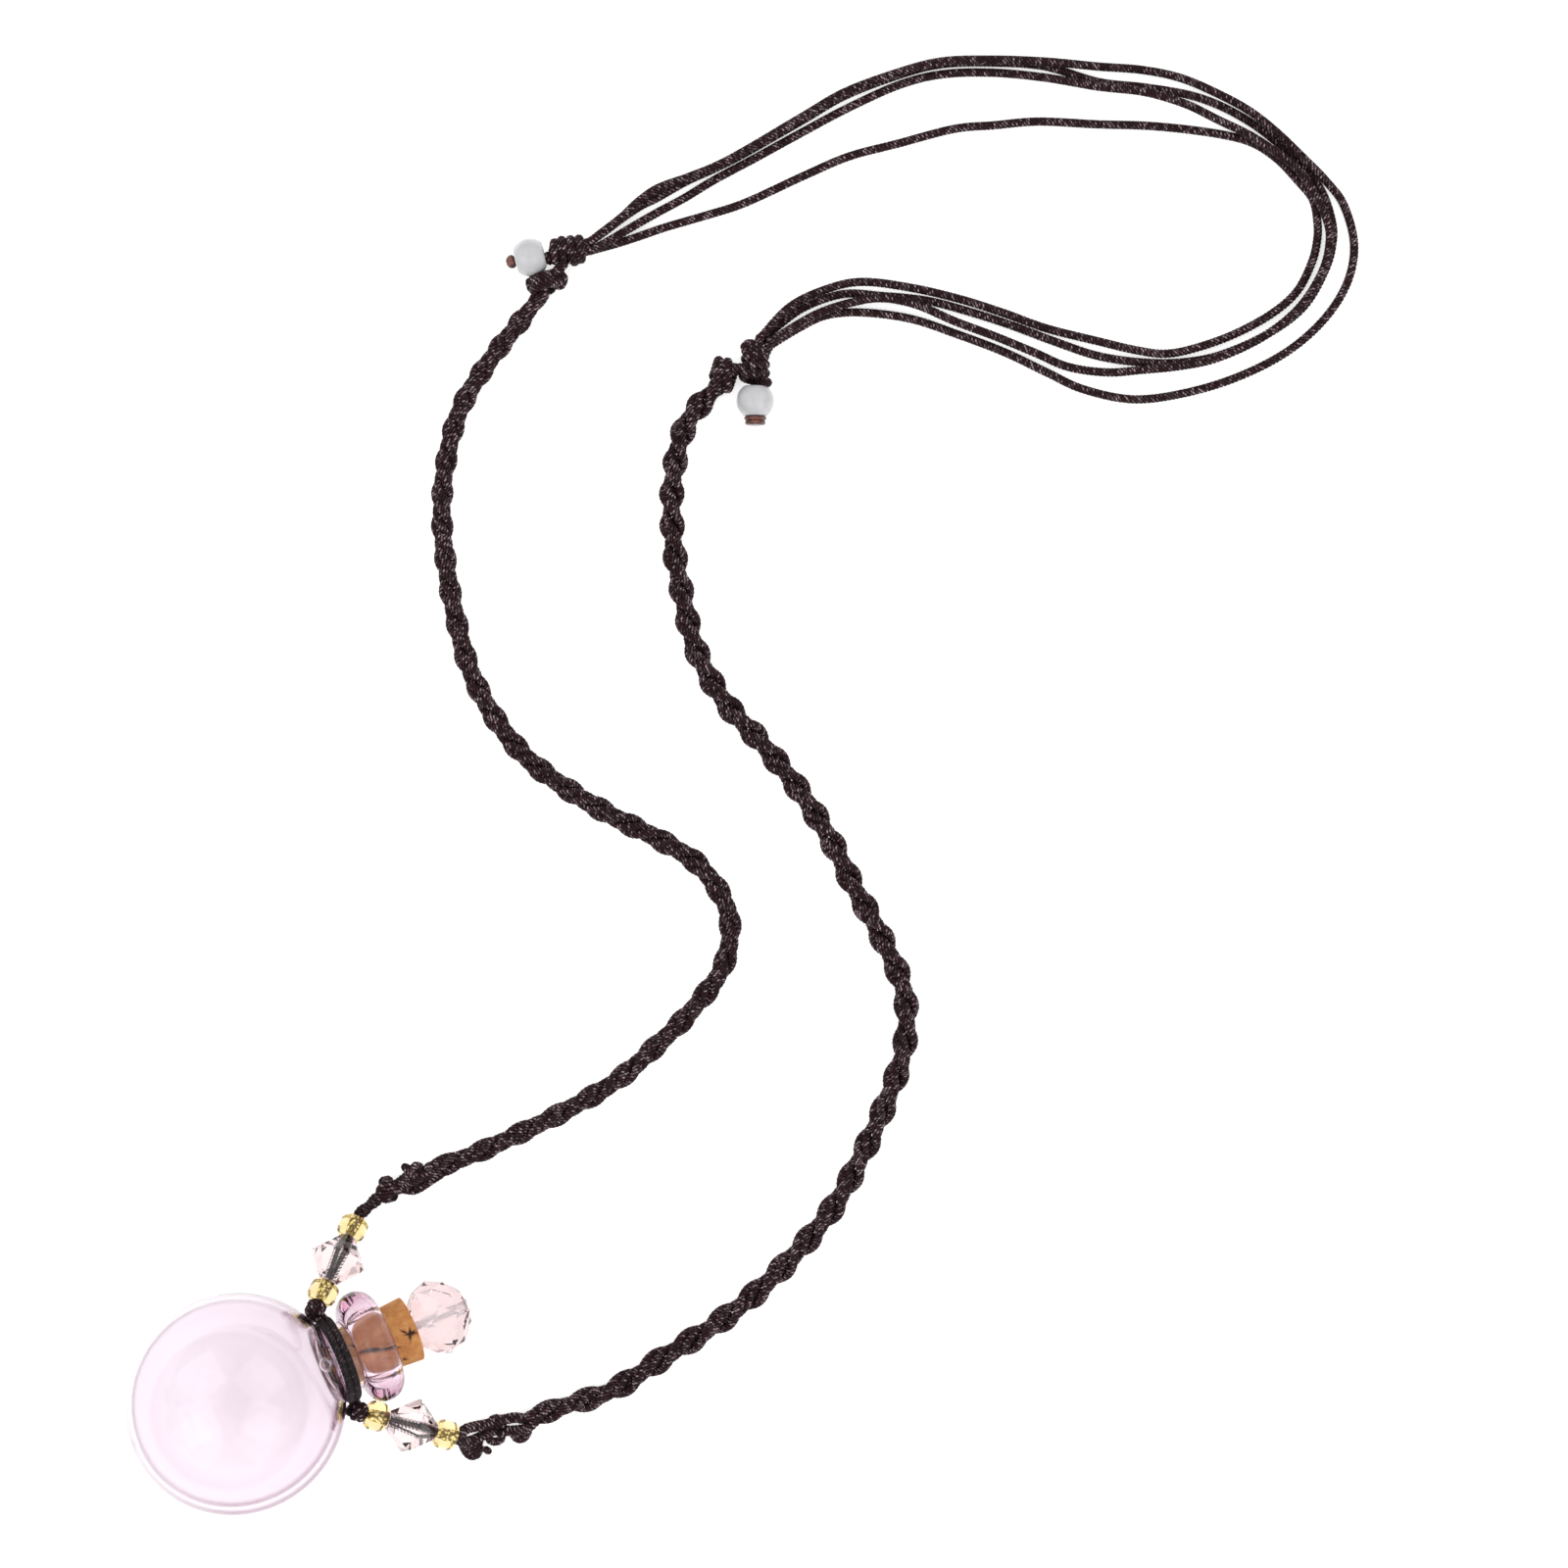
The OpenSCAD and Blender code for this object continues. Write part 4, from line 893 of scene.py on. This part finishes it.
def start_tie(side):
    """The cords between the bead string and the braid, and on the left a lump of two wraps."""
    shape = Shape()
    for diameter, points in START_CORDS[side]:
        cord(shape, smooth(points), diameter)
    if side == LEFT:
        place = Place(LUMP, LUMP_AXIS)
        cord(shape, wound(place, 0.6, 2.0, 0.95, start=290), LUMP_D, up=place.w)
    shape.make(f"start_tie_{SIDES[side]}", [knot_cord], "knot_cord", f"start_knot_{SIDES[side]}")


def end_tie(side):
    """Two wraps across the braid's end, and the cords that lead away from them."""
    shape = Shape()
    middle, turn, wide, pitch = END_WRAPS[side]
    place = Place(middle, flat_axis(turn))
    cord(shape, wound(place, 1.08, 2.3, pitch, start=250, wide=wide), END_WRAP_D, up=place.w)
    for diameter, points in END_CORDS[side]:
        cord(shape, smooth(points), diameter)
    shape.make(f"end_tie_{SIDES[side]}", [knot_cord], "knot_cord", f"end_knot_{SIDES[side]}")


def slide_tie(side):
    """Cord wound round the bundle of strands by its table of turns, with straight changes between them
    and a lean times the cosine of the angle. The strands come out of it towards the loop."""
    shape, place = Shape(), ON_END[side]
    wraps = np.array(SLIDE_WRAPS[side])
    turns = len(wraps) - 0.6
    t = np.linspace(0, turns, 300)
    along, radius, sideways = (np.interp(t, np.arange(len(wraps)), column) for column in wraps.T)
    angle = 140 + 360 * t
    line = place.at(along + SLIDE_LEANS[side] * np.cos(np.radians(angle)),
                    radius - TUCK * tucked(t, turns), angle)
    cord(shape, line + sideways[:, None] * place.u, SLIDE_WRAP_D, up=place.w)
    for route in LOOP_ROUTES:
        first, second = np.array(route if side == LEFT else route[::-1], float)[:2]
        inside = place.at(BUNDLE_AT) + BUNDLE_R * unit(first - place.at(BUNDLE_OUT_AT))
        bend = (inside + first) / 2 + 0.05 * (first - second)
        cord(shape, smooth([inside, bend, first, first + 0.08 * (second - first)]), LOOP_D)
    shape.make(f"slide_tie_{SIDES[side]}", [knot_cord], "knot_cord", f"slide_knot_{SIDES[side]}")


# End beads and the melted ends of the cords

BEAD_PROFILE = joined(arc(-1.48, 1.163, 0.12, 180, 135, 3), arc(0, 0, 2.05, 141, 39, 40),
                      arc(1.48, 1.163, 0.12, 45, 0, 3), arc(1.5, 0.75, 0.1, 0, -90, 5),
                      [[0.8, 0.65], [0, 0.65], [-0.8, 0.65]], arc(-1.5, 0.75, 0.1, -90, -180, 5))
# A melted button: on the left a half ball, on the right a flatter one with a step, and sides round it
BUTTONS = [
  [joined([[-2.65, 0]], arc(-2.0, 0.1, 0.65, 180, 90, 14), arc(-1.9, 0.6, 0.15, 90, 0, 4),
          [[-1.7, 0.6], [-1.7, 0]]), 48],
  [joined([[-2.63, 0], [-2.62, 0.4]], arc(-2.32, 0.85, 0.28, 180, 40, 10),
          arc(-1.86, 1.0, 0.23, 180, 0, 10), [[-1.6, 0]]), 56]
]


def white_bead(side):
    """A milky bead beside the sliding knot."""
    shape = Shape()
    lathe(shape, ON_END[side], BEAD_PROFILE, 72)
    shape.make(f"white_bead_{SIDES[side]}", [milky_glass], "milky_glass", f"end_bead_{SIDES[side]}")


def melted_end(side):
    """The cord's end through the milky bead, melted into a button outside it."""
    shape, place = Shape(), ON_END[side]
    cord(shape, place.at(np.linspace(-1.9, 0.9, 20)), TIP_D)
    button, sides = BUTTONS[side]
    lathe(shape, place, button, sides, poles=True)
    shape.make(f"melted_end_{SIDES[side]}", [melted_tip], "melted_tip", f"end_tip_{SIDES[side]}")


# Floor, world and lights

def floor():
    """A plain pale table of 3 by 3 metres."""
    mesh = bpy.data.meshes.new("floor")
    corners = [(1.5 * x, 1.5 * y, 0) for x, y in ((-1, -1), (1, -1), (1, 1), (-1, 1))]
    mesh.from_pydata(corners, [], [(0, 1, 2, 3)])
    mesh.materials.append(plain("floor_white", Base_Color=(0.74, 0.74, 0.74, 1), Roughness=0.9,
                                Emission_Color=(1, 1, 1, 1), Emission_Strength=0.62))
    piece = bpy.data.objects.new("floor", mesh)
    bpy.context.scene.collection.objects.link(piece)


def lamp(name, place, size, watts):
    """Square soft lamp that faces the middle of the photo's view."""
    data = bpy.data.lights.new(name, "AREA")
    data.size, data.energy = size, watts
    piece = bpy.data.objects.new(name, data)
    piece.location = place
    piece.rotation_mode = "QUATERNION"
    aim = Vector((*VIEW_MIDDLE, 0)) - Vector(place)
    piece.rotation_quaternion = aim.to_track_quat("-Z", "Y")
    bpy.context.scene.collection.objects.link(piece)


def studio():
    """Pale world, brighter above and greyer towards the horizon, with two small lamps and four large
    ones. Their places are in metres."""
    world = bpy.data.worlds.new("studio")
    bpy.context.scene.world = world
    paint = Paint(world)
    way = paint.node("ShaderNodeTexCoord", {}, "Generated")
    height = paint.node("ShaderNodeSeparateXYZ", {}, "Z", Vector=way)
    shade = paint.mix(height.above(0.02, 2.2), (0.62, 0.62, 0.62, 1), (0.85, 0.85, 0.85, 1))
    sky = paint.node("ShaderNodeBackground", {}, Color=shade, Strength=1.0)
    paint.add("ShaderNodeOutputWorld", {}, Surface=sky)
    middle_x, middle_y = VIEW_MIDDLE
    for x in (-1, 1):
        lamp(f"key_{x + 1}", (middle_x + 0.36 * x, -0.16, 0.55), 0.45, 0.4)
        for y in (-1, 1):
            lamp(f"soft_{x + 1}_{y + 1}", (middle_x + 0.6 * x, middle_y + 0.6 * y, 0.8), 0.9, 1.1)


# The camera and the free cords first, and then the rest

photo_camera()
for k in range(len(LOOP_ROUTES)):
    loop_strand(k)
for side in (LEFT, RIGHT):
    braid(side)
bottle()
cork_stopper()
stopper_stone()
stopper_wire()
neck_ring()
for side in (LEFT, RIGHT):
    neck_tie(side)
for side in (LEFT, RIGHT):
    gold_bead(side, "inner")
    gold_bead(side, "outer")
    crystal(side)
    string_thread(side)
for side in (LEFT, RIGHT):
    start_tie(side)
for side in (LEFT, RIGHT):
    end_tie(side)
    slide_tie(side)
    white_bead(side)
    melted_end(side)
floor()
studio()
